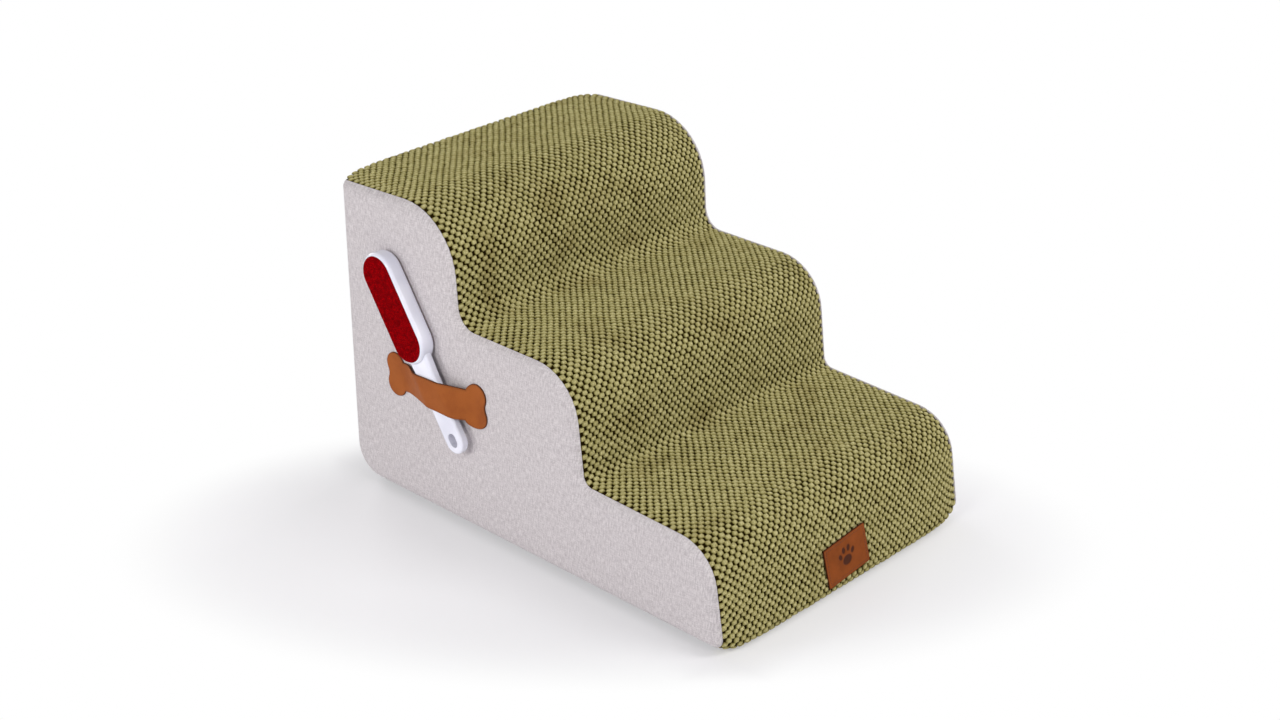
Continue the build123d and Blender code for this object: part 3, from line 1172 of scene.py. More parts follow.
class GeometryTree:
    """A Geometry Nodes tree that repeats a small part, with named inputs."""

    def __init__(self, title: str, sizes: dict[str, Value]) -> None:
        """Make the tree and its inputs.

        Args:
            title: The tree's name.
            sizes: The defaults of the tree's own inputs by name.
        """
        self.tree = bpy.data.node_groups.new(title, "GeometryNodeTree")
        interface = self.tree.interface
        for name, kind in SHARED_SOCKETS.items():
            interface.new_socket(name, in_out="INPUT", socket_type=kind)
        for name, default in sizes.items():
            made = interface.new_socket(name, in_out="INPUT", socket_type=SIZE_SOCKETS[type(default)])
            made.default_value = default
        interface.new_socket("Geometry", in_out="OUTPUT", socket_type=SHARED_SOCKETS["Geometry"])
        self.maker = NodeMaker(self.tree)
        self.entry = self.maker.node("NodeGroupInput")

    def size(self, name: str) -> Socket:
        """Take a named input of the tree."""
        return self.entry.out(name)

    def random(self, low: float | Triple, high: float | Triple, step: int = 0) -> Socket:
        """Add random numbers, or random vectors where the limits are vectors.

        Args:
            low: The lowest.
            high: The highest.
            step: How far their seed is past the tree's own.

        Returns:
            The random values.
        """
        kind = "FLOAT_VECTOR" if isinstance(low, tuple) else "FLOAT"
        values = {"Min": low, "Max": high, "Seed": self.size("Seed") + step}
        return self.maker.node("FunctionNodeRandomValue", {"data_type": kind}, values).out()

    def wobble(self, limits: Triple, share: str, step: int = 0) -> Socket:
        """Add random vectors that go as far either way, times a named input."""
        low = tuple(-limit for limit in limits)
        return self.maker.vector("SCALE", self.random(low, limits, step), self.size(share))

    def turned(self, up: Value, along: Value, lean: Socket | None = None) -> Socket:
        """Turn parts so that they stand up from the surface.

        Args:
            up: The way that their Z points.
            along: The way that their X points.
            lean: How they lean from there, if they do.

        Returns:
            The rotation.
        """
        settings = {"primary_axis": "Z", "secondary_axis": "X"}
        values = {"Primary Axis": up, "Secondary Axis": along}
        upright = self.maker.node("FunctionNodeAxesToRotation", settings, values).out()
        if lean is None:
            return upright
        leaning = self.maker.node("FunctionNodeEulerToRotation", {}, {"Euler": lean}).out()
        values = {"Rotation": upright, "Rotate By": leaning}
        return self.maker.node("FunctionNodeRotateRotation", {"rotation_space": "LOCAL"}, values).out()

    def plant(
        self,
        points: Socket,
        rotation: Socket,
        kept: dict[str, Socket] | None = None,
        others: Inputs | None = None,
    ) -> None:
        """End the tree with a part on each point, as real meshes in their material.

        Args:
            points: The points.
            rotation: How the parts are turned.
            kept: Numbers to keep on the parts by the attribute's name.
            others: More inputs of the instances.
        """
        for title, number in (kept or {}).items():
            settings = {"data_type": "FLOAT", "domain": "POINT"}
            values = {"Geometry": points, "Name": title, "Value": number}
            points = self.maker.node("GeometryNodeStoreNamedAttribute", settings, values).out()
        part = self.maker.node("GeometryNodeObjectInfo", {}, {"Object": self.size("Part")}).out("Geometry")
        values = {"Points": points, "Instance": part, "Rotation": rotation, **(others or {})}
        instances = self.maker.node("GeometryNodeInstanceOnPoints", {}, values).out()
        real = self.maker.node("GeometryNodeRealizeInstances", {}, {"Geometry": instances}).out()
        values = {"Geometry": real, "Material": self.size("Material")}
        dressed = self.maker.node("GeometryNodeSetMaterial", {}, values).out()
        self.maker.node("NodeGroupOutput", {}, {"Geometry": dressed})

    def grow(
        self,
        name: str,
        host: bpy.types.Object,
        part: bpy.types.Object,
        finish: Finish,
        values: dict[str, Value],
    ) -> bpy.types.Object:
        """Run the tree on a host mesh.

        Args:
            name: The name of the piece that it gives.
            host: The mesh that it reads.
            part: The part that it repeats.
            finish: The piece's finish.
            values: Its other inputs by name.

        Returns:
            A plain mesh object.
        """
        inputs = (item for item in self.tree.interface.items_tree if item.in_out == "INPUT")
        identifiers = {item.name: item.identifier for item in inputs}
        modifier = host.modifiers.new("grown", "NODES")
        modifier.node_group = self.tree
        for title, value in {"Part": part, "Material": finish.material(), **values}.items():
            modifier[identifiers[title]] = value
        mesh = evaluated(host)
        host.modifiers.remove(modifier)
        return new_object(name, mesh)


LUMP_SIZES = {
    "First Row": 0,
    "Rows": 10,
    "Columns": 10,
    "Row Spacing": 0.005,
    "Column Spacing": 0.010,
    "Jitter": 0.0003,
    "Sway": 0.0,
    "Sway Scale": 11.0,
    "Tilt": 0.1,
    "Size Spread": 0.1,
    "Low From": 10.0,
    "Low Share": 1.0,
    "Patch Middle": (0.0, 0.0, -1.0),
    "Patch Right": (1.0, 0.0, 0.0),
    "Patch Up": (0.0, 0.0, 1.0),
    "Patch Size": (0.0, 0.0, 0.0),
    "Patch Share": 0.3,
    "Seed": 7,
}


def lattice_tree() -> GeometryTree:
    """Make the tree that sets rows of small lumps on a mapped sheet, each row half a step along.

    Returns:
        The tree.
    """
    grown = GeometryTree("lump_rows", LUMP_SIZES)
    maker, size = grown.maker, grown.size
    columns = size("Columns")
    points = maker.node("GeometryNodePoints", {}, {"Count": size("Rows") * columns}).out()
    index = maker.node("GeometryNodeInputIndex").out()
    row = ((index + 0.5) / columns).floor()
    row_number = row + size("First Row")
    shift = (row_number % 2.0 - 0.5) / 2
    across = (index - row * columns - (columns - 1.0) * 0.5 + shift) * size("Column Spacing")
    along = (row_number + 0.5) * size("Row Spacing")
    flat = maker.combine(across, along, 0.0)
    noise = {"Vector": flat, "Scale": size("Sway Scale"), "Detail": 1.0}
    drift = maker.node("ShaderNodeTexNoise", {}, noise).out("Color")
    wander = maker.vector("SUBTRACT", drift, NOISE_MIDDLE)
    swayed = maker.vector("ADD", flat, maker.vector("SCALE", wander, size("Sway")))
    jittered = maker.vector("ADD", swayed, grown.wobble((1.0, 1.0, 0.0), "Jitter"))
    chart_place = maker.vector("ADD", jittered, (CHART_MIDDLE, 0.0, 0.0))
    vectors = {"data_type": "FLOAT_VECTOR"}
    chart = maker.node("GeometryNodeInputNamedAttribute", vectors, {"Name": CHART}).out()
    place, normal = (
        maker.node(
            "GeometryNodeSampleUVSurface",
            vectors,
            {
                "Mesh": size("Geometry"),
                "Value": maker.node(f"GeometryNodeInput{read}").out(),
                "UV Map": chart,
                "Sample UV": chart_place,
            },
        )
        for read in ("Position", "Normal")
    )
    placed = {"Geometry": points, "Position": place.out("Value")}
    offset = maker.vector("SUBTRACT", place.out("Value"), size("Patch Middle"))
    half_width, half_height, _ = maker.split(size("Patch Size"))
    beside = abs(maker.vector("DOT_PRODUCT", offset, size("Patch Right"))) < half_width
    above = abs(maker.vector("DOT_PRODUCT", offset, size("Patch Up"))) < half_height
    pressed = beside * above * (1.0 - size("Patch Share"))
    low = (along > size("Low From")) * (1.0 - size("Low Share"))
    width = grown.random(-1.0, 1.0, step=2) * size("Size Spread") + 1.0
    scale = maker.combine(width, width, width * (1.0 - low) * (1.0 - pressed))
    grown.plant(
        maker.node("GeometryNodeSetPosition", {}, placed).out(),
        grown.turned(normal.out("Value"), tuple(RIGHTWARD), grown.wobble(LUMP_LEANS, "Tilt", step=1)),
        {"lump_shade": grown.random(0.0, 1.0, step=3)},
        {"Selection": place.out("Is Valid"), "Scale": scale},
    )
    return grown


STITCH_SIZES = {"Pitch": 0.003, "Up": (0.0, 0.0, 1.0), "Tilt": 0.03, "Seed": 11}


def path_tree() -> GeometryTree:
    """Make the tree that sets stitches or teeth along a line of edges.

    Returns:
        The tree.
    """
    grown = GeometryTree("along_path", STITCH_SIZES)
    maker, size = grown.maker, grown.size
    line = maker.node("GeometryNodeMeshToCurve", {}, {"Mesh": size("Geometry")}).out()
    spaced = {"Curve": line, "Length": size("Pitch")}
    even = maker.node("GeometryNodeResampleCurve", {"mode": "LENGTH"}, spaced).out()
    points = maker.node("GeometryNodeCurveToPoints", {"mode": "EVALUATED"}, {"Curve": even})
    lean = grown.wobble((1.0, 1.0, 1.0), "Tilt")
    grown.plant(points.out("Points"), grown.turned(size("Up"), points.out("Tangent"), lean))
    return grown


TUFT_SIZES = {
    "Density": 1.0e6,
    "Outward": (-1.0, 0.0, 0.0),
    "Lay": (0.0, 0.0, -1.0),
    "Lean": 0.5,
    "Spread": 0.25,
    "Least Size": 0.8,
    "Size Spread": 0.3,
    "Seed": 3,
}


def tuft_tree() -> GeometryTree:
    """Make the tree that scatters leaning tufts over a sheet.

    Returns:
        The tree.
    """
    grown = GeometryTree("nap_tufts", TUFT_SIZES)
    maker, size = grown.maker, grown.size
    spread = {"Mesh": size("Geometry"), "Density": size("Density"), "Seed": size("Seed")}
    scattered = maker.node("GeometryNodeDistributePointsOnFaces", {"distribute_method": "RANDOM"}, spread)
    leaning = maker.vector("ADD", size("Outward"), maker.vector("SCALE", size("Lay"), size("Lean")))
    way = maker.vector("ADD", leaning, grown.wobble((1.0, 1.0, 1.0), "Spread"))
    shade = grown.random(0.0, 1.0, step=1)
    tall = shade * size("Size Spread") + size("Least Size")
    grown.plant(
        scattered.out("Points"),
        grown.turned(way, size("Lay")),
        {"tuft_shade": shade},
        {"Scale": maker.combine(tall, tall, tall)},
    )
    return grown


def turned_part(
    name: str,
    profile: Sequence[tuple[float, float]],
    sides: int,
    reaches: Sequence[float] = (1.0,),
    rise_title: str | None = None,
    lying: bool = False,
) -> bpy.types.Object:
    """Turn a small closed part round its axis, for a tree to repeat.

    Args:
        name: The part's name.
        profile: Heights and radii from one pole to the other, with radius 0 at both.
        sides: How many sides it has.
        reaches: Shares of the radius that its corners reach, over and over round the part.
        rise_title: The attribute that keeps how high each point is, if any.
        lying: Whether its axis lies along X and not Z.

    Returns:
        The part's object.
    """
    plan = MeshPlan()
    rings = []
    for height, radius in profile:
        ring = []
        for side in range(sides if radius > 0 else 1):
            turn = TURN * side / sides
            reach = radius * reaches[side % len(reaches)]
            ring.append(Vector((reach * math.cos(turn), reach * math.sin(turn), height)))
        if lying:
            ring = [Vector((point.z, point.y, point.x)) for point in ring]
        rings.append(plan.add_row(ring))
    nexts = [(side + 1) % sides for side in range(sides)]
    bottom, top = rings[0][0], rings[-1][0]
    plan.faces += [(bottom, rings[1][after], rings[1][side]) for side, after in enumerate(nexts)]
    plan.skin(rings[1:-1], closed=True)
    plan.faces += [(rings[-2][side], rings[-2][after], top) for side, after in enumerate(nexts)]
    if rise_title:
        peak = max(height for height, _ in profile)
        plan.numbers[rise_title] = [max(point.z, 0.0) / peak for point in plan.points]
    return plan.build_shell(name)


def unpressed(point: Vector) -> float:
    """Press nothing into a sheet."""
    return 0.0


@dataclass
class CutSheet:
    """A flat piece cut to an outline, with rolled edges, laid on a surface."""

    outline: list[Vector]
    thickness: float
    roll: float
    spacing: float
    edge_width: float = 0.0009
    pressed_at: Callable[[Vector], float] = unpressed
    press_depth: float = 0.0
    roll_shares: tuple[float, ...] = (0.35, 1.0)
    clear_share: float = 0.9
    inner_gap: float = 0.45
    merge_reach: float = 1e-7

    def __post_init__(self) -> None:
        """Index the outline, with the way inwards at each of its points."""
        self.near = KDTree(len(self.outline))
        self.inward: list[Vector] = []
        for place, point in enumerate(self.outline):
            self.near.insert((*point, 0.0), place)
            along = (self.outline[(place + 1) % len(self.outline)] - self.outline[place - 1]).normalized()
            self.inward.append(Vector((-along.y, along.x)))
        self.near.balance()

    def _depth(self, point: Vector) -> float:
        """Measure how far inside the outline a point lies.

        Args:
            point: The point.

        Returns:
            The depth, negative outside.
        """
        _, place, _ = self.near.find((*point, 0.0))
        offset = point - self.outline[place]
        return math.copysign(offset.length, offset.dot(self.inward[place]))

    def _points(self) -> list[Vector]:
        """Place the outline's points, two rings inside them and rows in the middle.

        Returns:
            The points, the outline's first.
        """
        points = list(self.outline)
        for share in self.roll_shares:
            inset = self.roll * share
            moved = [point + normal * inset for point, normal in zip(self.outline, self.inward)]
            points += [point for point in moved if self._depth(point) > inset * self.clear_share]
        lows, highs = (Vector([pick(values) for values in zip(*self.outline)]) for pick in (min, max))
        columns, rows = (math.ceil(reach / self.spacing) for reach in highs - lows)
        for row in range(rows + 1):
            for column in range(columns + 1):
                point = lows + Vector((column + (row % 2) / 2, row)) * self.spacing
                if self._depth(point) > self.roll + self.spacing * self.inner_gap:
                    points.append(point)
        return points

    def build(
        self,
        name: str,
        finish: Finish,
        lay: Callable[[float, float, float], Vector],
    ) -> bpy.types.Object:
        """Make the piece.

        Args:
            name: Its name.
            finish: Its finish.
            lay: Where a point of the flat piece goes, from its place and its height.

        Returns:
            The object.
        """
        count = len(self.outline)
        edges = [(place, (place + 1) % count) for place in range(count)]
        loop = [tuple(range(count))]
        flat, _, faces, origins, _, _ = delaunay_2d_cdt(self._points(), edges, loop, 1, self.merge_reach)
        rim = {origin: place for place, group in enumerate(origins) for origin in group if origin < count}
        depths = [max(self._depth(point), 0.0) for point in flat]
        for place in rim.values():
            depths[place] = 0.0
        presses = [self.pressed_at(point) for point in flat]
        top = []
        for point, depth, press in zip(flat, depths, presses):
            share = min(depth / self.roll, 1.0)
            fall = self.roll * (1 - math.sqrt(1 - (1 - share) ** 2))
            top.append(lay(point.x, point.y, self.thickness - fall - press * self.press_depth))
        plan = MeshPlan()
        plan.add_row(top)
        plan.add_row(lay(point.x, point.y, 0.0) for point in flat)
        under = len(flat)
        plan.faces += [tuple(face) for face in faces]
        plan.faces += [tuple(place + under for place in reversed(face)) for face in faces]
        for place in range(count):
            first, second = rim[place], rim[(place + 1) % count]
            plan.faces.append((first, first + under, second + under, second))
        bands = [max(1 - depth / self.edge_width, 0.0) for depth in depths]
        plan.numbers["cut_edge"] = bands + bands
        plan.numbers["pressed"] = presses + [0.0] * under
        return plan.build_shell(name, finish)


@dataclass
class FoamBlock:
    """The stepped foam inside the cover."""

    inset: float = 0.0033
    column_parts: int = 28
    swell_parts: int = 2
    fill: float = 1.0

    def build(self) -> None:
        """Make the block from its crowned middle and its two swollen sides."""
        plan = MeshPlan()
        rings = [
            plan.add_section(x, FORM.loop(FORM.drops_at(x), self.inset))
            for x in FORM.columns(self.column_parts)
        ]
        for side, base in ((Side.LEFT, rings[0]), (Side.RIGHT, rings[-1])):
            rows = [base]
            for rise, reach in FORM.swell(self.swell_parts):
                x = side.value * (FORM.half_width + (FORM.side_bulge - self.inset) * rise)
                inset = self.inset + (FORM.bulge_reach - self.inset) * reach
                rows.append(plan.add_section(x, FORM.rim_loop(inset)))
            plan.skin(rows, closed=True)
            plan.faces.append(tuple(rows[-1]))
        plan.skin(rings, closed=True)
        install(plan.build_shell("foam_block", FOAM), Body.STAIRS, ["foam_core"], self.fill)


@dataclass
class TreadCover:
    """Popcorn knit over the treads and risers: a ground cloth and its rows of lumps."""

    label: "FrontLabel"
    ground_inset: float = 0.0024
    ground_thickness: float = 0.0006
    seam_height: float = 0.366
    toe_wrap: float = 0.025
    toe_height: float = 0.004
    column_parts: int = 48
    run_parts: tuple[int, ...] = (3, 26, 12, 22, 12, 24, 14, 4)
    arc_parts: int = 12
    fill: float = 0.9
    row_spacing: float = 0.00515
    column_spacing: float = 0.00956
    columns: int = 42
    end_gap: float = 0.002
    jitter: float = 0.00035
    sway: float = 0.0045
    tilt: float = 0.1
    size_spread: float = 0.08
    low_share: float = 0.78
    pressed_share: float = 0.3
    seed: int = 7
    lump_profile: Profile = (
        (-0.0012, 0.0),
        (0.0002, 0.0041),
        (0.0018, 0.0036),
        (0.0027, 0.0021),
        (0.0030, 0.0),
    )
    lump_sides: int = 8
    lump_reaches: tuple[float, ...] = (0.95, 1.06, 0.74, 1.06)

    def _line(self, x: float) -> list[Vector]:
        """Follow the cover from the back seam over the steps and under the toe.

        Args:
            x: The place across the stairs.

        Returns:
            The line's points, seen from the side.
        """
        drops = FORM.drops_at(x)
        corners, radii = FORM.moved_in(drops, self.ground_inset)
        depth = self.ground_inset + drops.flats
        start = Vector((FORM.back - depth, self.seam_height))
        end = Vector((FORM.front + self.toe_wrap, depth))
        path = [start, *corners[2:], corners[0], end]
        return rounded_path(path, [*radii[2:], radii[0]], self.run_parts, self.arc_parts)

    def _sheet(self, name: str) -> bpy.types.Object:
        """Make the ground as a mapped open sheet.

        Args:
            name: Its name.

        Returns:
            The sheet.
        """
        plan = mapped_strip(self.column_parts, self._line)
        # The ground cloth keeps a rise of 0, so all of it takes the knit's painted pit shade.
        for title in ("lump_rise", "lump_shade"):
            plan.numbers[title] = [0.0] * len(plan.points)
        return plan.build_sheet(name, KNIT)

    def _step_lengths(self) -> list[float]:
        """Find where along the cover each step's knit ends: both valleys, the toe and the end.

        Returns:
            The four lengths.
        """
        line = self._line(0.0)
        lengths = path_lengths(line)
        ends = []
        for valley in sorted(FORM.valleys):
            corner = Vector(FORM.corners[valley])
            nearest = min(range(len(line)), key=lambda place: (line[place] - corner).length)
            ends.append(lengths[nearest])
        lower_half = range(len(line) // 2 + 1, len(line))
        toe = next(place for place in lower_half if line[place].y < self.toe_height)
        return [*ends, lengths[toe], lengths[-1]]

    def build(self) -> None:
        """Make the ground cloth, then the lumps of each step."""
        host = self._sheet("knit_host")
        ground = thickened(self._sheet("knit_ground"), self.ground_thickness)
        install(ground, Body.STAIRS, ["tread_cover"], self.fill)
        lump = turned_part("lump", self.lump_profile, self.lump_sides, self.lump_reaches, "lump_rise")
        tree = lattice_tree()
        top_end, second_end, toe, end = self._step_lengths()
        marks = [0, round(top_end / self.row_spacing), round(second_end / self.row_spacing)]
        marks.append(math.floor((end - self.end_gap) / self.row_spacing))
        middle, right, up, size = self.label.footprint()
        shared = {
            "Columns": self.columns,
            "Row Spacing": self.row_spacing,
            "Column Spacing": self.column_spacing,
            "Jitter": self.jitter,
            "Sway": self.sway,
            "Tilt": self.tilt,
            "Size Spread": self.size_spread,
            "Low From": toe,
            "Low Share": self.low_share,
            "Patch Middle": middle,
            "Patch Right": right,
            "Patch Up": up,
            "Patch Size": size,
            "Patch Share": self.pressed_share,
        }
        for step, first, last in zip(("top", "second", "first"), marks, marks[1:]):
            values = {**shared, "First Row": first, "Rows": last - first, "Seed": self.seed + first}
            lumps = tree.grow(f"knit_lumps_{step}", host, lump, KNIT, values)
            install(lumps, Body.STAIRS, ["tread_cover"], self.fill)
        drop(host, lump)


@dataclass
class SidePanel:
    """Linen side: its rim is turned in at the seam, and it swells to a flat middle."""

    side: Side
    thickness: float = 0.0012
    seam_turn: Profile = ((-0.0006, 0.0022), (0.0001, 0.0007), (0.0010, 0.0001))
    swell_parts: int = 4
    flat_gap: float = 0.001
    fill: float = 0.9

    def build(self) -> None:
        """Make the panel and hand it over."""
        plan = MeshPlan()
        stations = [(FORM.half_width + x, inset) for x, inset in self.seam_turn]
        for rise, reach in FORM.swell(self.swell_parts):
            x = FORM.half_width + FORM.side_bulge * rise
            if x > stations[-1][0]:
                stations.append((x, FORM.bulge_reach * reach))
        stations.append((FORM.half_width + FORM.side_bulge, FORM.bulge_reach + self.flat_gap))
        rings = []
        for x, inset in stations:
            loop = FORM.rim_loop(inset)
            rings.append(plan.add_section(self.side.value * x, loop))
            plan.charts += [tuple(point) for point in loop]
        plan.skin(rings, closed=True)
        plan.faces.append(tuple(rings[-1]))
        side = self.side.name.lower()
        panel = thickened(plan.build_sheet(f"linen_{side}_side", LINEN), self.thickness)
        install(panel, Body.STAIRS, [f"{side}_side_panel"], self.fill)


@dataclass
class Stitching:
    """Runs of thread along lines, all from one tree."""

    tree: GeometryTree
    half_length: float = 0.0013
    radius: float = 0.00032
    sides: int = 6
    profile: Profile = ((-1.0, 0.0), (-0.85, 0.7), (0.0, 1.0), (0.85, 0.7), (1.0, 0.0))

    def sew(
        self,
        name: str,
        line: Sequence[Vector],
        up: Vector,
        finish: Finish,
        pitch: float = 0.0036,
    ) -> None:
        """Sew along a line with stitches that are short pills.

        Args:
            name: The name of the stitches' piece.
            line: The line's points.
            up: The way out of the cloth.
            finish: The thread's finish.
            pitch: How far apart the stitches are.
        """
        profile = [(self.half_length * along, self.radius * reach) for along, reach in self.profile]
        host = followed_lines(line)
        stitch = turned_part("stitch", profile, self.sides, lying=True)
        sewn = self.tree.grow(name, host, stitch, finish, {"Pitch": pitch, "Up": tuple(up)})
        drop(host, stitch)
        install(sewn, Body.STAIRS)


@dataclass
class BackPanel:
    """Linen back between the top seam and the zipper."""

    stitching: Stitching
    low: float = 0.074
    high: float = 0.366
    thickness: float = 0.0012
    swell: float = 0.0022
    swell_power: int = 5
    edge_turn: float = 0.0014
    edge_powers: tuple[int, int] = (60, 70)
    parts: int = 32
    stitch_gap: float = 0.003
    fill: float = 0.9

    def _point(self, x: float, z: float) -> Vector:
        """Find a point of the cloth's face.

        Args:
            x: The place across.
            z: Its height.

        Returns:
            The point.
        """
        across = abs(x) / FORM.half_width
        up = abs(2 * (z - self.low) / (self.high - self.low) - 1)
        seam = self.edge_turn * (across ** self.edge_powers[0] + up ** self.edge_powers[1])
        swell = self.swell * (1 - across**self.swell_power) * (1 - up**self.swell_power)
        return Vector((x, FORM.back - FORM.turned_in(x) + swell - seam, z))

    def build(self) -> None:
        """Make the panel and the stitches along its lower edge."""
        plan = MeshPlan()
        rows = []
        for share in spread_shares(self.parts):
            z = (self.low + self.high) / 2 + share * (self.high - self.low) / 2
            row = [self._point(x, z) for x in FORM.columns(self.parts)]
            rows.append(plan.add_row(row))
            plan.charts += [(point.x, point.z) for point in row]
        plan.skin(rows)
        panel = thickened(plan.build_sheet("linen_back", LINEN), self.thickness)
        install(panel, Body.STAIRS, ["back_panel"], self.fill)
        line = [self._point(x, self.low + self.stitch_gap) for x in FORM.columns(self.parts)[1:-1]]
        self.stitching.sew("back_stitches", line, BACKWARD, THREAD)


@dataclass
class BaseSheet:
    """Non-slip sheet under the stairs and round the heel, with rows of rubber dots."""

    stitching: Stitching
    inset: float = 0.0006
    thickness: float = 0.0012
    top: float = 0.048
    toe_wrap: float = 0.025
    parts: int = 28
    run_parts: tuple[int, int] = (40, 2)
    arc_parts: int = 12
    stitch_gap: float = 0.003
    row_spacing: float = 0.006
    column_spacing: float = 0.012
    columns: int = 33
    end_gap: float = 0.004
    dot_profile: Profile = ((-0.0003, 0.0), (-0.0002, 0.0019), (0.0003, 0.0016), (0.0006, 0.0))
    dot_sides: int = 8

    def _line(self, x: float) -> list[Vector]:
        """Follow the sheet from the toe to the zipper.

        Args:
            x: The place across the stairs.

        Returns:
            The line's points, seen from the side.
        """
        depth = self.inset + FORM.turned_in(x)
        start = Vector((FORM.front + self.toe_wrap, depth))
        path = [start, Vector((FORM.back - depth, depth)), Vector((FORM.back - depth, self.top))]
        return rounded_path(path, [FORM.radii[1] - self.inset], self.run_parts, self.arc_parts)

    def _strip(self, name: str) -> bpy.types.Object:
        """Make the sheet as a mapped open strip with a name."""
        return mapped_strip(self.parts, self._line).build_sheet(name, NON_SLIP_CLOTH)

    def build(self) -> None:
        """Make the sheet, its dots and the stitches below the zipper."""
        host = self._strip("base_host")
        sheet = thickened(self._strip("non_slip_sheet"), self.thickness)
        install(sheet, Body.STAIRS, ["base_panel"])
        dot = turned_part("dot", self.dot_profile, self.dot_sides)
        length = path_lengths(self._line(0.0))[-1]
        values = {
            "Rows": math.floor((length - self.end_gap) / self.row_spacing),
            "Columns": self.columns,
            "Row Spacing": self.row_spacing,
            "Column Spacing": self.column_spacing,
            "Jitter": 0.0,
            "Tilt": 0.0,
            "Size Spread": 0.0,
        }
        dots = lattice_tree().grow("non_slip_dots", host, dot, NON_SLIP_RUBBER, values)
        install(dots, Body.STAIRS, ["base_panel"])
        drop(host, dot)
        back = FORM.back - self.inset
        height = self.top - self.stitch_gap
        edge = [Vector((x, back - FORM.turned_in(x), height)) for x in FORM.columns(self.parts)[1:-1]]
        self.stitching.sew("base_stitches", edge, BACKWARD, THREAD)


@dataclass
class ZipperClosure:
    """Zipper low on the back: two tapes and two rows of coil; slider, pull and stops stay the CAD's."""

    tree: GeometryTree
    height: float = 0.061
    tape_face: float = 0.2994
    tape_thickness: float = 0.0008
    tape_profile: Profile = (
        (0.0, 1.0),
        (0.013, 1.0),
        (0.013, 0.3),
        (0.004, 0.3),
        (0.003, 0.0),
        (0.0004, 0.0),
        (0.0, 0.4),
    )
    chain_half: float = 0.170
    chain_gaps: tuple[float, float] = (0.0006, 0.0008)
    tooth_pitch: float = 0.0017
    tooth_reach: float = 0.0021
    tooth_overlap: float = 0.0004
    tooth_rise: float = 0.0011
    tooth_profile: Profile = (
        (-1.0, 0.0),
        (-0.8, 0.0004),
        (-0.3, 0.00052),
        (0.5, 0.0005),
        (0.85, 0.00062),
        (1.0, 0.0),
    )
    tooth_sides: int = 8
    tooth_reaches: tuple[float, ...] = (1.0, 1.58, 2.0, 1.58)
    parts: int = 28

    def _tape(self, name: str, sign: int) -> bpy.types.Object:
        """Make one tape as a flat ribbon with a bead at its inner edge.

        Args:
            name: Its name.
            sign: 1 for the upper tape, -1 for the lower.

        Returns:
            The tape.
        """
        plan = MeshPlan()
        rings = []
        for x in FORM.columns(self.parts):
            ring = []
            for reach, share in self.tape_profile:
                y = self.tape_face - self.tape_thickness * share - FORM.turned_in(x)
                ring.append(Vector((x, y, self.height + sign * reach)))
            rings.append(plan.add_row(ring))
        plan.skin(rings, closed=True)
        plan.faces += [tuple(rings[0]), tuple(rings[-1])]
        return plan.build_shell(name, TAPE)

    def _teeth(self, name: str, sign: int) -> bpy.types.Object:
        """Make one row of coil.

        Args:
            name: Its name.
            sign: 1 for the upper row, -1 for the lower.

        Returns:
            The row.
        """
        half = (self.tooth_reach + self.tooth_overlap) / 2
        profile = [(half * along, radius) for along, radius in self.tooth_profile]
        tooth = turned_part("tooth", profile, self.tooth_sides, self.tooth_reaches, lying=True)
        middle = (self.tooth_reach - self.tooth_overlap) / 2
        turn = Matrix.Rotation(-sign * TURN / 4, 4, "Z") @ Matrix.Rotation(TURN / 4, 4, "X")
        tooth.data.transform(turn)
        tooth.data.transform(Matrix.Translation((0.0, -sign * middle, 0.0)))
        start = -self.chain_half + (self.tooth_pitch / 2 if sign > 0 else 0.0) + self.chain_gaps[0]
        ends = (start, self.chain_half - self.chain_gaps[1])
        host = followed_lines([Vector((x, self.tape_face + self.tooth_rise, self.height)) for x in ends])
        values = {"Pitch": self.tooth_pitch, "Up": tuple(BACKWARD), "Tilt": 0.0}
        row = self.tree.grow(name, host, tooth, COIL, values)
        drop(host, tooth)
        return row

    def build(self) -> None:
        """Make the tapes and the coil, and dress the metal parts."""
        for place, sign in (("upper", 1), ("lower", -1)):
            install(self._tape(f"tape_{place}", sign), Body.STAIRS, [f"zipper_tape_{place}"])
            install(self._teeth(f"coil_{place}", sign), Body.STAIRS, [f"zipper_coil_{place}"])
        dress(METAL, "zipper_slider", "zipper_pull", "zipper_left_stop", "zipper_right_stop")


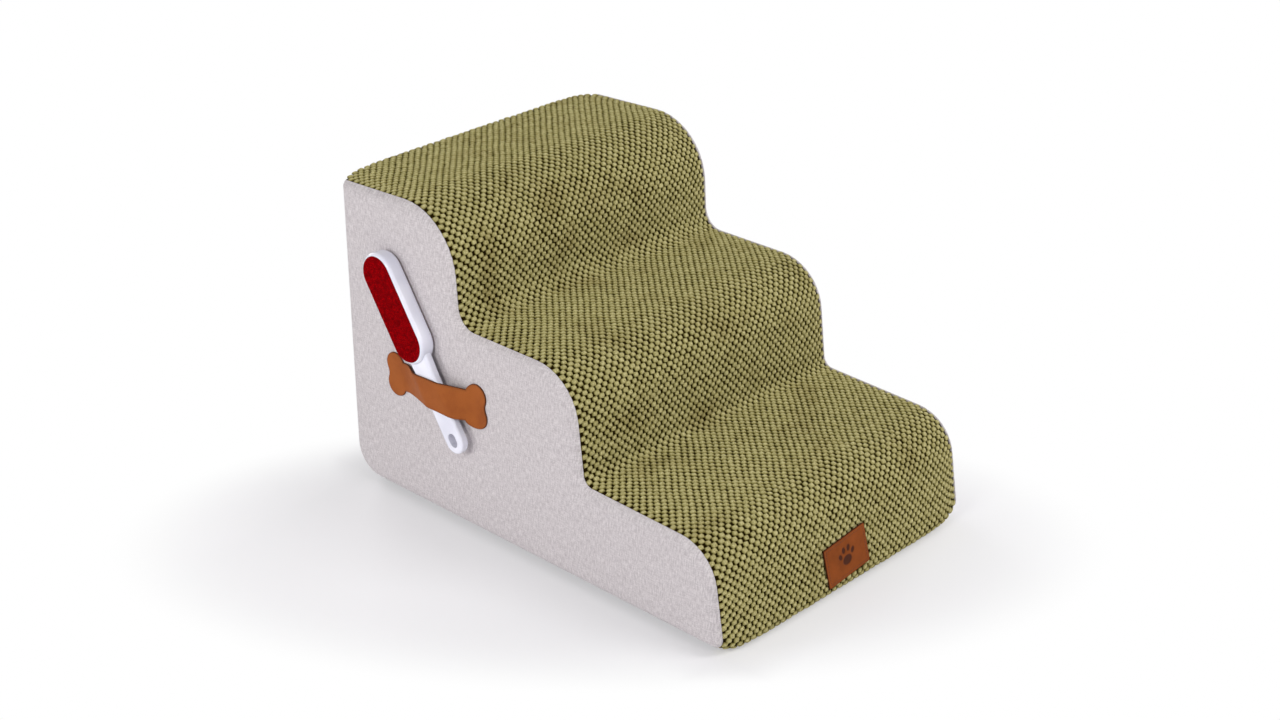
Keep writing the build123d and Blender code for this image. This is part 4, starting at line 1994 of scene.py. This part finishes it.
@dataclass
class BoneStrap:
    """Bone-shaped leather strap, flat on the side at its lobes and arched along the brush's handle."""

    middle: Triple = (-0.212, 0.1351, 0.1695)
    tilt: float = math.radians(2.6)
    half_length: float = 0.083
    neck_half: float = 0.018
    lobe_radius: float = 0.015
    lobe_offset: float = 0.012
    notch_radius: float = 0.014
    arc_step: float = math.radians(6)
    side_parts: int = 60
    thickness: float = 0.0018
    roll: float = 0.0006
    spacing: float = 0.002
    foot_front: float = -0.0638
    foot_back: float = 0.0465
    crest_middle: float = -0.0133
    crest_half: float = 0.0195
    crest_lean: float = 0.599
    crest_height: float = 0.01675
    bend_radii: tuple[float, ...] = (0.036, 0.018, 0.028, 0.045)
    bend_parts: int = 12
    run_parts: tuple[int, ...] = (8, 6, 12, 6, 8)
    end_gap: float = 0.001
    arch_rows: int = 40
    bow: float = 0.003
    bow_reach: float = 0.055

    def _outline(self) -> list[Vector]:
        """Follow the bone once round, the left way.

        Returns:
            The outline's points, about a millimetre and a half apart.
        """
        along = self.half_length - self.lobe_radius
        notch_reach = math.sqrt((self.lobe_radius + self.notch_radius) ** 2 - self.lobe_offset**2)
        notch_place = along + notch_reach
        notch = math.atan2(self.lobe_offset, notch_reach)
        shoulder = math.asin((self.neck_half - self.lobe_offset) / self.lobe_radius)
        arcs = (
            ((along, self.lobe_offset), self.lobe_radius, -notch, math.pi - shoulder),
            ((-along, self.lobe_offset), self.lobe_radius, shoulder, math.pi + notch),
            ((-notch_place, 0.0), self.notch_radius, notch, -notch),
            ((-along, -self.lobe_offset), self.lobe_radius, math.pi - notch, TURN - shoulder),
            ((along, -self.lobe_offset), self.lobe_radius, math.pi + shoulder, TURN + notch),
            ((notch_place, 0.0), self.notch_radius, math.pi + notch, math.pi - notch),
        )
        points: list[Vector] = []
        for centre, radius, start, end in arcs:
            count = math.ceil(abs(end - start) * radius / (self.arc_step * self.lobe_radius))
            arc = [
                Vector(centre) + Vector((math.cos(turn), math.sin(turn))) * radius
                for turn in (start + (end - start) * part / count for part in range(count + 1))
            ]
            if points and (arc[0] - points[-1]).length > self.lobe_radius:
                points += run_points(points[-1], arc[0], self.side_parts)
            points += arc[1:] if points else arc
        return points[:-1]

    def _arch(self, across: float) -> Arch:
        """Follow the strap's inner face at one place across it, seen from above.

        Args:
            across: The place across the strap.

        Returns:
            Points along the face, each with its way out of the leather.
        """
        crest = self.crest_middle + self.crest_lean * across
        corners = [
            Vector((-self.half_length - self.end_gap, 0.0)),
            Vector((self.foot_front, 0.0)),
            Vector((crest - self.crest_half, self.crest_height)),
            Vector((crest + self.crest_half, self.crest_height)),
            Vector((self.foot_back, 0.0)),
            Vector((self.half_length + self.end_gap, 0.0)),
        ]
        line = rounded_path(corners, self.bend_radii, self.run_parts, self.bend_parts)
        arch = []
        for place, point in enumerate(line):
            along = (line[min(place + 1, len(line) - 1)] - line[max(place - 1, 0)]).normalized()
            arch.append((point, Vector((-along.y, along.x))))
        return arch

    @staticmethod
    def _on_arch(arch: Arch, along: float) -> tuple[Vector, Vector]:
        """Take a place on one row of the arch.

        Args:
            arch: The row's points, each with its way out.
            along: The place along the strap.

        Returns:
            The point and the way out there.
        """
        after = next((place for place, (point, _) in enumerate(arch) if point.x > along), len(arch) - 1)
        (first, first_out), (second, second_out) = arch[after - 1], arch[after]
        share = (along - first.x) / (second.x - first.x)
        return first.lerp(second, share), first_out.lerp(second_out, share)

    def build(self) -> None:
        """Make the strap."""
        along = Vector((0.0, math.cos(self.tilt), -math.sin(self.tilt)))
        across = Vector((0.0, math.sin(self.tilt), math.cos(self.tilt)))
        half = self.neck_half + self.bow
        rows = [self._arch(half * (2 * row / self.arch_rows - 1)) for row in range(self.arch_rows + 1)]

        def lay(u: float, v: float, height: float) -> Vector:
            """Bend a point of the flat strap over the arch.

            Args:
                u: Its place along the strap.
                v: Its place across the strap.
                height: Its height in the leather.

            Returns:
                The point on the stairs.
            """
            v += self.bow * max(1 - (u / self.bow_reach) ** 2, 0.0)
            row = min(max((v / half + 1) / 2, 0.0), 1.0) * self.arch_rows
            before = min(math.floor(row), self.arch_rows - 1)
            first, first_out = self._on_arch(rows[before], u)
            second, second_out = self._on_arch(rows[before + 1], u)
            out = first_out.lerp(second_out, row - before).normalized()
            point = first.lerp(second, row - before) + out * height
            return Vector(self.middle) + along * point.x + across * v - RIGHTWARD * point.y

        sheet = CutSheet(self._outline(), self.thickness, self.roll, self.spacing)
        strap = sheet.build("leather_bone_strap", STRAP_LEATHER, lay)
        install(strap, Body.STAIRS, ["bone_strap"])


@dataclass
class FrontLabel:
    """Leather patch on the first riser, with a plain pressed paw and a stitched border."""

    stitching: Stitching
    middle_x: float = -0.0047
    middle_z: float = 0.040
    width: float = 0.071
    height: float = 0.048
    corner: float = 0.0025
    outline_step: float = 0.0012
    tilt: float = math.radians(6)
    gap: float = 0.0003
    knit_gap: float = 0.0005
    thickness: float = 0.0015
    roll: float = 0.0005
    spacing: float = 0.00095
    edge_width: float = 0.001
    border: float = 0.0035
    border_corner: float = 0.002
    border_step: float = 0.001
    stitch_pitch: float = 0.0034
    press_depth: float = 0.00035
    press_edge: Band = (1.08, 0.92)
    paw_pads: tuple[tuple[float, float, float, float, float], ...] = (
        (0.0, -0.0045, 0.0075, 0.0058, 0.0),
        (-0.0105, 0.0030, 0.0027, 0.0037, 0.45),
        (-0.0040, 0.0085, 0.0028, 0.0040, 0.12),
        (0.0040, 0.0085, 0.0028, 0.0040, -0.12),
        (0.0105, 0.0030, 0.0027, 0.0037, -0.45),
    )

    def _axes(self) -> tuple[Vector, Vector, Vector, Vector]:
        """Find the patch's middle and its ways right, up and out.

        Returns:
            The four vectors.
        """
        toe, nose = Vector(FORM.corners[0]), Vector(FORM.corners[-1])
        slope = (nose - toe).normalized()
        out = Vector((0.0, -slope.y, slope.x))
        up = Vector((0.0, slope.x, slope.y))
        y = toe.x + (nose.x - toe.x) * self.middle_z / nose.y
        middle = Vector((self.middle_x, y, self.middle_z))
        turned_right = RIGHTWARD * math.cos(self.tilt) + up * math.sin(self.tilt)
        turned_up = up * math.cos(self.tilt) - RIGHTWARD * math.sin(self.tilt)
        return middle, turned_right, turned_up, out

    def footprint(self) -> tuple[tuple, tuple, tuple, tuple]:
        """Give the space in which the knit is pressed down.

        Returns:
            The middle, the ways right and up, and the half sizes.
        """
        middle, right, up, _ = self._axes()
        size = (self.width / 2 + self.knit_gap, self.height / 2 + self.knit_gap, 0.0)
        return tuple(middle), tuple(right), tuple(up), size

    def _pressed(self, point: Vector) -> float:
        """Say how much of the pressed paw is at a point of the patch.

        Args:
            point: The point.

        Returns:
            A share from 0 to 1.
        """
        outer, inner = self.press_edge
        most = 0.0
        for x, y, half_width, half_height, turn in self.paw_pads:
            offset = Matrix.Rotation(-turn, 2) @ (point - Vector((x, y)))
            reach = math.hypot(offset.x / half_width, offset.y / half_height)
            most = max(most, min(max((outer - reach) / (outer - inner), 0.0), 1.0))
        return most

    def build(self) -> None:
        """Make the patch and its stitches."""
        middle, right, up, out = self._axes()

        def lay(u: float, v: float, height: float) -> Vector:
            """Put a point of the patch on the riser."""
            return middle + right * u + up * v + out * (self.gap + height)

        sheet = CutSheet(
            rounded_rectangle(self.width, self.height, self.corner, self.outline_step),
            self.thickness,
            self.roll,
            self.spacing,
            self.edge_width,
            self._pressed,
            self.press_depth,
        )
        install(sheet.build("leather_label", LABEL_LEATHER, lay), Body.STAIRS, ["front_label"])
        width, height = self.width - 2 * self.border, self.height - 2 * self.border
        inner = rounded_rectangle(width, height, self.border_corner, self.border_step)
        ring = [lay(point.x, point.y, self.thickness) for point in [*inner, inner[0]]]
        self.stitching.sew("label_stitches", ring, out, LABEL_THREAD, self.stitch_pitch)


@dataclass
class LintBrush:
    """Lint brush: the CAD's moulded shells, and a red nap on both faces."""

    origin: Triple = (-0.2123, 0.1818, 0.2608)
    along: Triple = (0.0, 0.551937, 0.833886)
    middle_depth: float = 0.01105
    head_half_depth: float = 0.01025
    nap_length: float = 0.1276
    nap_width: float = 0.0456
    nap_seat: float = 0.0012
    pad_proud: float = 0.0002
    outline_step: float = 0.002
    least_end: float = 1e-5
    roll: float = 0.0005
    spacing: float = 0.0045
    tuft_margin: float = 0.0006
    tuft_profile: Profile = ((-0.0001, 0.0), (0.0, 0.00022), (0.00055, 0.00016), (0.0007, 0.0))
    tuft_sides: int = 4
    tuft_density: float = 1.3e6
    tuft_lean: float = 0.45
    tuft_spread: float = 0.35
    seed: int = 5

    def _outline(self, margin: float) -> list[Vector]:
        """Follow the nap's outline, which has round ends.

        Args:
            margin: How far it lies inside the nap's own edge.

        Returns:
            The outline's points.
        """
        width = self.nap_width - 2 * margin
        length = self.nap_length - 2 * margin
        return rounded_rectangle(length, width, width / 2 - self.least_end, self.outline_step)

    def _pad(self, name: str, way: int) -> None:
        """Make the nap of one face.

        Args:
            name: Which face it is, as the CAD node names it.
            way: 1 for the face away from the stairs, -1 for the one towards them.
        """
        along = Vector(self.along)
        across = Vector((0.0, -along.z, along.y))
        out = -RIGHTWARD * way
        middle = Vector(self.origin) - RIGHTWARD * self.middle_depth
        floor = self.head_half_depth - self.nap_seat
        thickness = self.nap_seat + self.pad_proud

        def lay(u: float, v: float, height: float) -> Vector:
            """Put a point of the nap on the brush."""
            return middle + along * u + across * (v * way) + out * (floor + height)

        sheet = CutSheet(self._outline(0.0), thickness, self.roll, self.spacing)
        pad = sheet.build(f"{name}_pad", NAP, lay)
        for title in ("cut_edge", "pressed"):
            pad.data.attributes.remove(pad.data.attributes[title])
        install(pad, Body.BRUSH, [name])
        plan = MeshPlan()
        edge = (lay(*point, thickness) for point in self._outline(self.tuft_margin))
        plan.faces.append(tuple(plan.add_row(edge)))
        host = plan.build("nap_host")
        tuft = turned_part("tuft", self.tuft_profile, self.tuft_sides, rise_title="tuft_rise")
        values = {
            "Density": self.tuft_density,
            "Outward": tuple(out),
            "Lay": tuple(-along),
            "Lean": self.tuft_lean,
            "Spread": self.tuft_spread,
            "Seed": self.seed + way,
        }
        tufts = tuft_tree().grow(f"{name}_tufts", host, tuft, NAP, values)
        install(tufts, Body.BRUSH, [name])
        drop(host, tuft)

    def build(self) -> None:
        """Dress the shells and make both naps."""
        dress(PLASTIC, "brush_front_shell", "brush_back_shell")
        self._pad("brush_front_nap", 1)
        self._pad("brush_back_nap", -1)


@dataclass(frozen=True)
class Lamp:
    """A soft square light that points at the stairs."""

    title: str
    place: Triple
    size: float
    power: float

    def hang(self, aim: Vector) -> None:
        """Hang the light.

        Args:
            aim: What it points at.
        """
        data = bpy.data.lights.new(self.title, "AREA")
        data.shape = "SQUARE"
        data.size = self.size
        data.energy = self.power
        lamp = new_object(self.title, data)
        lamp.location = self.place
        lamp.rotation_euler = (aim - Vector(self.place)).to_track_quat("-Z", "Y").to_euler()


@dataclass
class Studio:
    """Pale floor, soft lights and the camera of the photograph."""

    camera_place: Triple = (-1.6619, -1.5614, 1.2872)
    camera_yaw: float = 0.8098
    camera_pitch: float = -0.4530
    lens: float = 62.09
    sensor_width: float = 36.0
    nearest: float = 0.05
    floor_half: float = 6.0
    floor_drop: float = 0.0004
    floor_colour: Colour = colour(243, 242, 244)
    floor_grain: Noise = Noise(400.0, 1.0)
    floor_grain_share: float = 0.02
    near_glow: Colour = colour(238, 237, 239)
    near_glow_share: float = 0.4
    shade_middle: tuple[float, float] = (-0.05, 0.1)
    shade_reach: tuple[float, float] = (0.55, 0.3)
    haze_band: Band = (0.35, 1.1)
    half_stairs: tuple[float, float] = (0.2, 0.29)
    contact_band: Band = (0.0, 0.07)
    white: Colour = (1.0, 1.0, 1.0, 1.0)
    sky_light: float = 0.2
    aim: Triple = (0.0, 0.0, 0.15)
    lamps: tuple[Lamp, ...] = (
        Lamp("side_light", (-2.4, -0.4, 1.6), 0.8, 27.5),
        Lamp("low_side_light", (-2.3, 1.0, 0.55), 0.35, 13.0),
        Lamp("low_front_light", (-0.6, -1.9, 1.4), 0.8, 7.4),
        Lamp("key_light", (1.0, -2.2, 2.6), 1.6, 50.0),
        Lamp("back_fill", (0.9, 2.6, 0.8), 1.2, 28.0),
        Lamp("right_fill", (2.7, 0.2, 0.8), 1.2, 28.0),
    )

    def _haze(self, maker: NodeMaker, place: Socket) -> Socket:
        """Find how much of the floor turns white: nothing at the stairs and all of it beyond their shadow.

        Args:
            maker: The maker of the floor's tree.
            place: The place on the floor.

        Returns:
            A share from 0 to 1.
        """
        right, back = math.cos(self.camera_yaw), math.sin(self.camera_yaw)
        x, y, _ = maker.split(place)
        sideways = x * right - y * back - self.shade_middle[0]
        nearer = x * -back - y * right - self.shade_middle[1]
        outwards = (sideways / self.shade_reach[0]) ** 2.0 + (nearer / self.shade_reach[1]) ** 2.0
        beside = (abs(x) - self.half_stairs[0]).larger(0.0) + (abs(y) - self.half_stairs[1]).larger(0.0)
        return outwards.ramp(self.haze_band) * beside.ramp(self.contact_band)

    def _floor(self) -> None:
        """Lay the floor, which turns white for the camera far from the stairs."""
        plan = MeshPlan()
        ways = ((-1, -1), (1, -1), (1, 1), (-1, 1))
        row = (Vector((x * self.floor_half, y * self.floor_half, -self.floor_drop)) for x, y in ways)
        plan.faces.append(tuple(plan.add_row(row)))
        floor = plan.build("studio_floor")
        material = bpy.data.materials.new("studio_floor")
        maker = emptied(material)
        place = maker.place()
        grain = maker.noise(place, self.floor_grain) * self.floor_grain_share
        paint = maker.mix(grain, self.floor_colour, self.white)
        lit = maker.node("ShaderNodeBsdfPrincipled", {}, {"Base Color": paint, "Roughness": 0.7}).out()
        haze = self._haze(maker, place)
        # Painted light: near the stairs part of the floor that the camera sees is glow, which fades the
        # stairs' real shadow; far from them it all glows white.
        glow_colour = maker.mix(haze, self.near_glow, self.white)
        glow = maker.node("ShaderNodeEmission", {}, {"Color": glow_colour, "Strength": 1.0}).out()
        share = maker.seen_directly() * haze.within((self.near_glow_share, 1.0))
        mixed = maker.node("ShaderNodeMixShader", {}, {0: share, 1: lit, 2: glow}).out()
        maker.node("ShaderNodeOutputMaterial", {}, {"Surface": mixed})
        floor.data.materials.append(material)

    def _world(self) -> None:
        """Make a soft even sky that the camera sees as white."""
        world = bpy.data.worlds.new("studio_world")
        maker = emptied(world)
        strength = maker.seen_directly().within((self.sky_light, 1.0))
        sky = maker.node("ShaderNodeBackground", {}, {"Color": self.white, "Strength": strength}).out()
        maker.node("ShaderNodeOutputWorld", {}, {"Surface": sky})
        bpy.context.scene.world = world

    def _camera(self) -> None:
        """Set up the camera as it was fitted to the photograph."""
        data = bpy.data.cameras.new("photo_camera")
        data.lens = self.lens
        data.sensor_width = self.sensor_width
        data.clip_start = self.nearest
        camera = new_object("photo_camera", data)
        camera.location = self.camera_place
        camera.rotation_euler = (math.pi / 2 + self.camera_pitch, 0.0, -self.camera_yaw)
        bpy.context.scene.camera = camera

    def build(self) -> None:
        """Set up the whole studio."""
        self._floor()
        self._world()
        self._camera()
        for lamp in self.lamps:
            lamp.hang(Vector(self.aim))
        bpy.context.scene.view_settings.view_transform = "Standard"


def main() -> None:
    """Build and dress every sub-assembly in order."""
    logging.basicConfig(level=logging.INFO, format="%(message)s")
    Studio().build()
    along = path_tree()
    stitching = Stitching(along)
    label = FrontLabel(stitching)
    FoamBlock().build()
    TreadCover(label).build()
    SidePanel(Side.LEFT).build()
    SidePanel(Side.RIGHT).build()
    BackPanel(stitching).build()
    BaseSheet(stitching).build()
    ZipperClosure(along).build()
    BoneStrap().build()
    label.build()
    LintBrush().build()


if __name__ == "__main__":
    main()
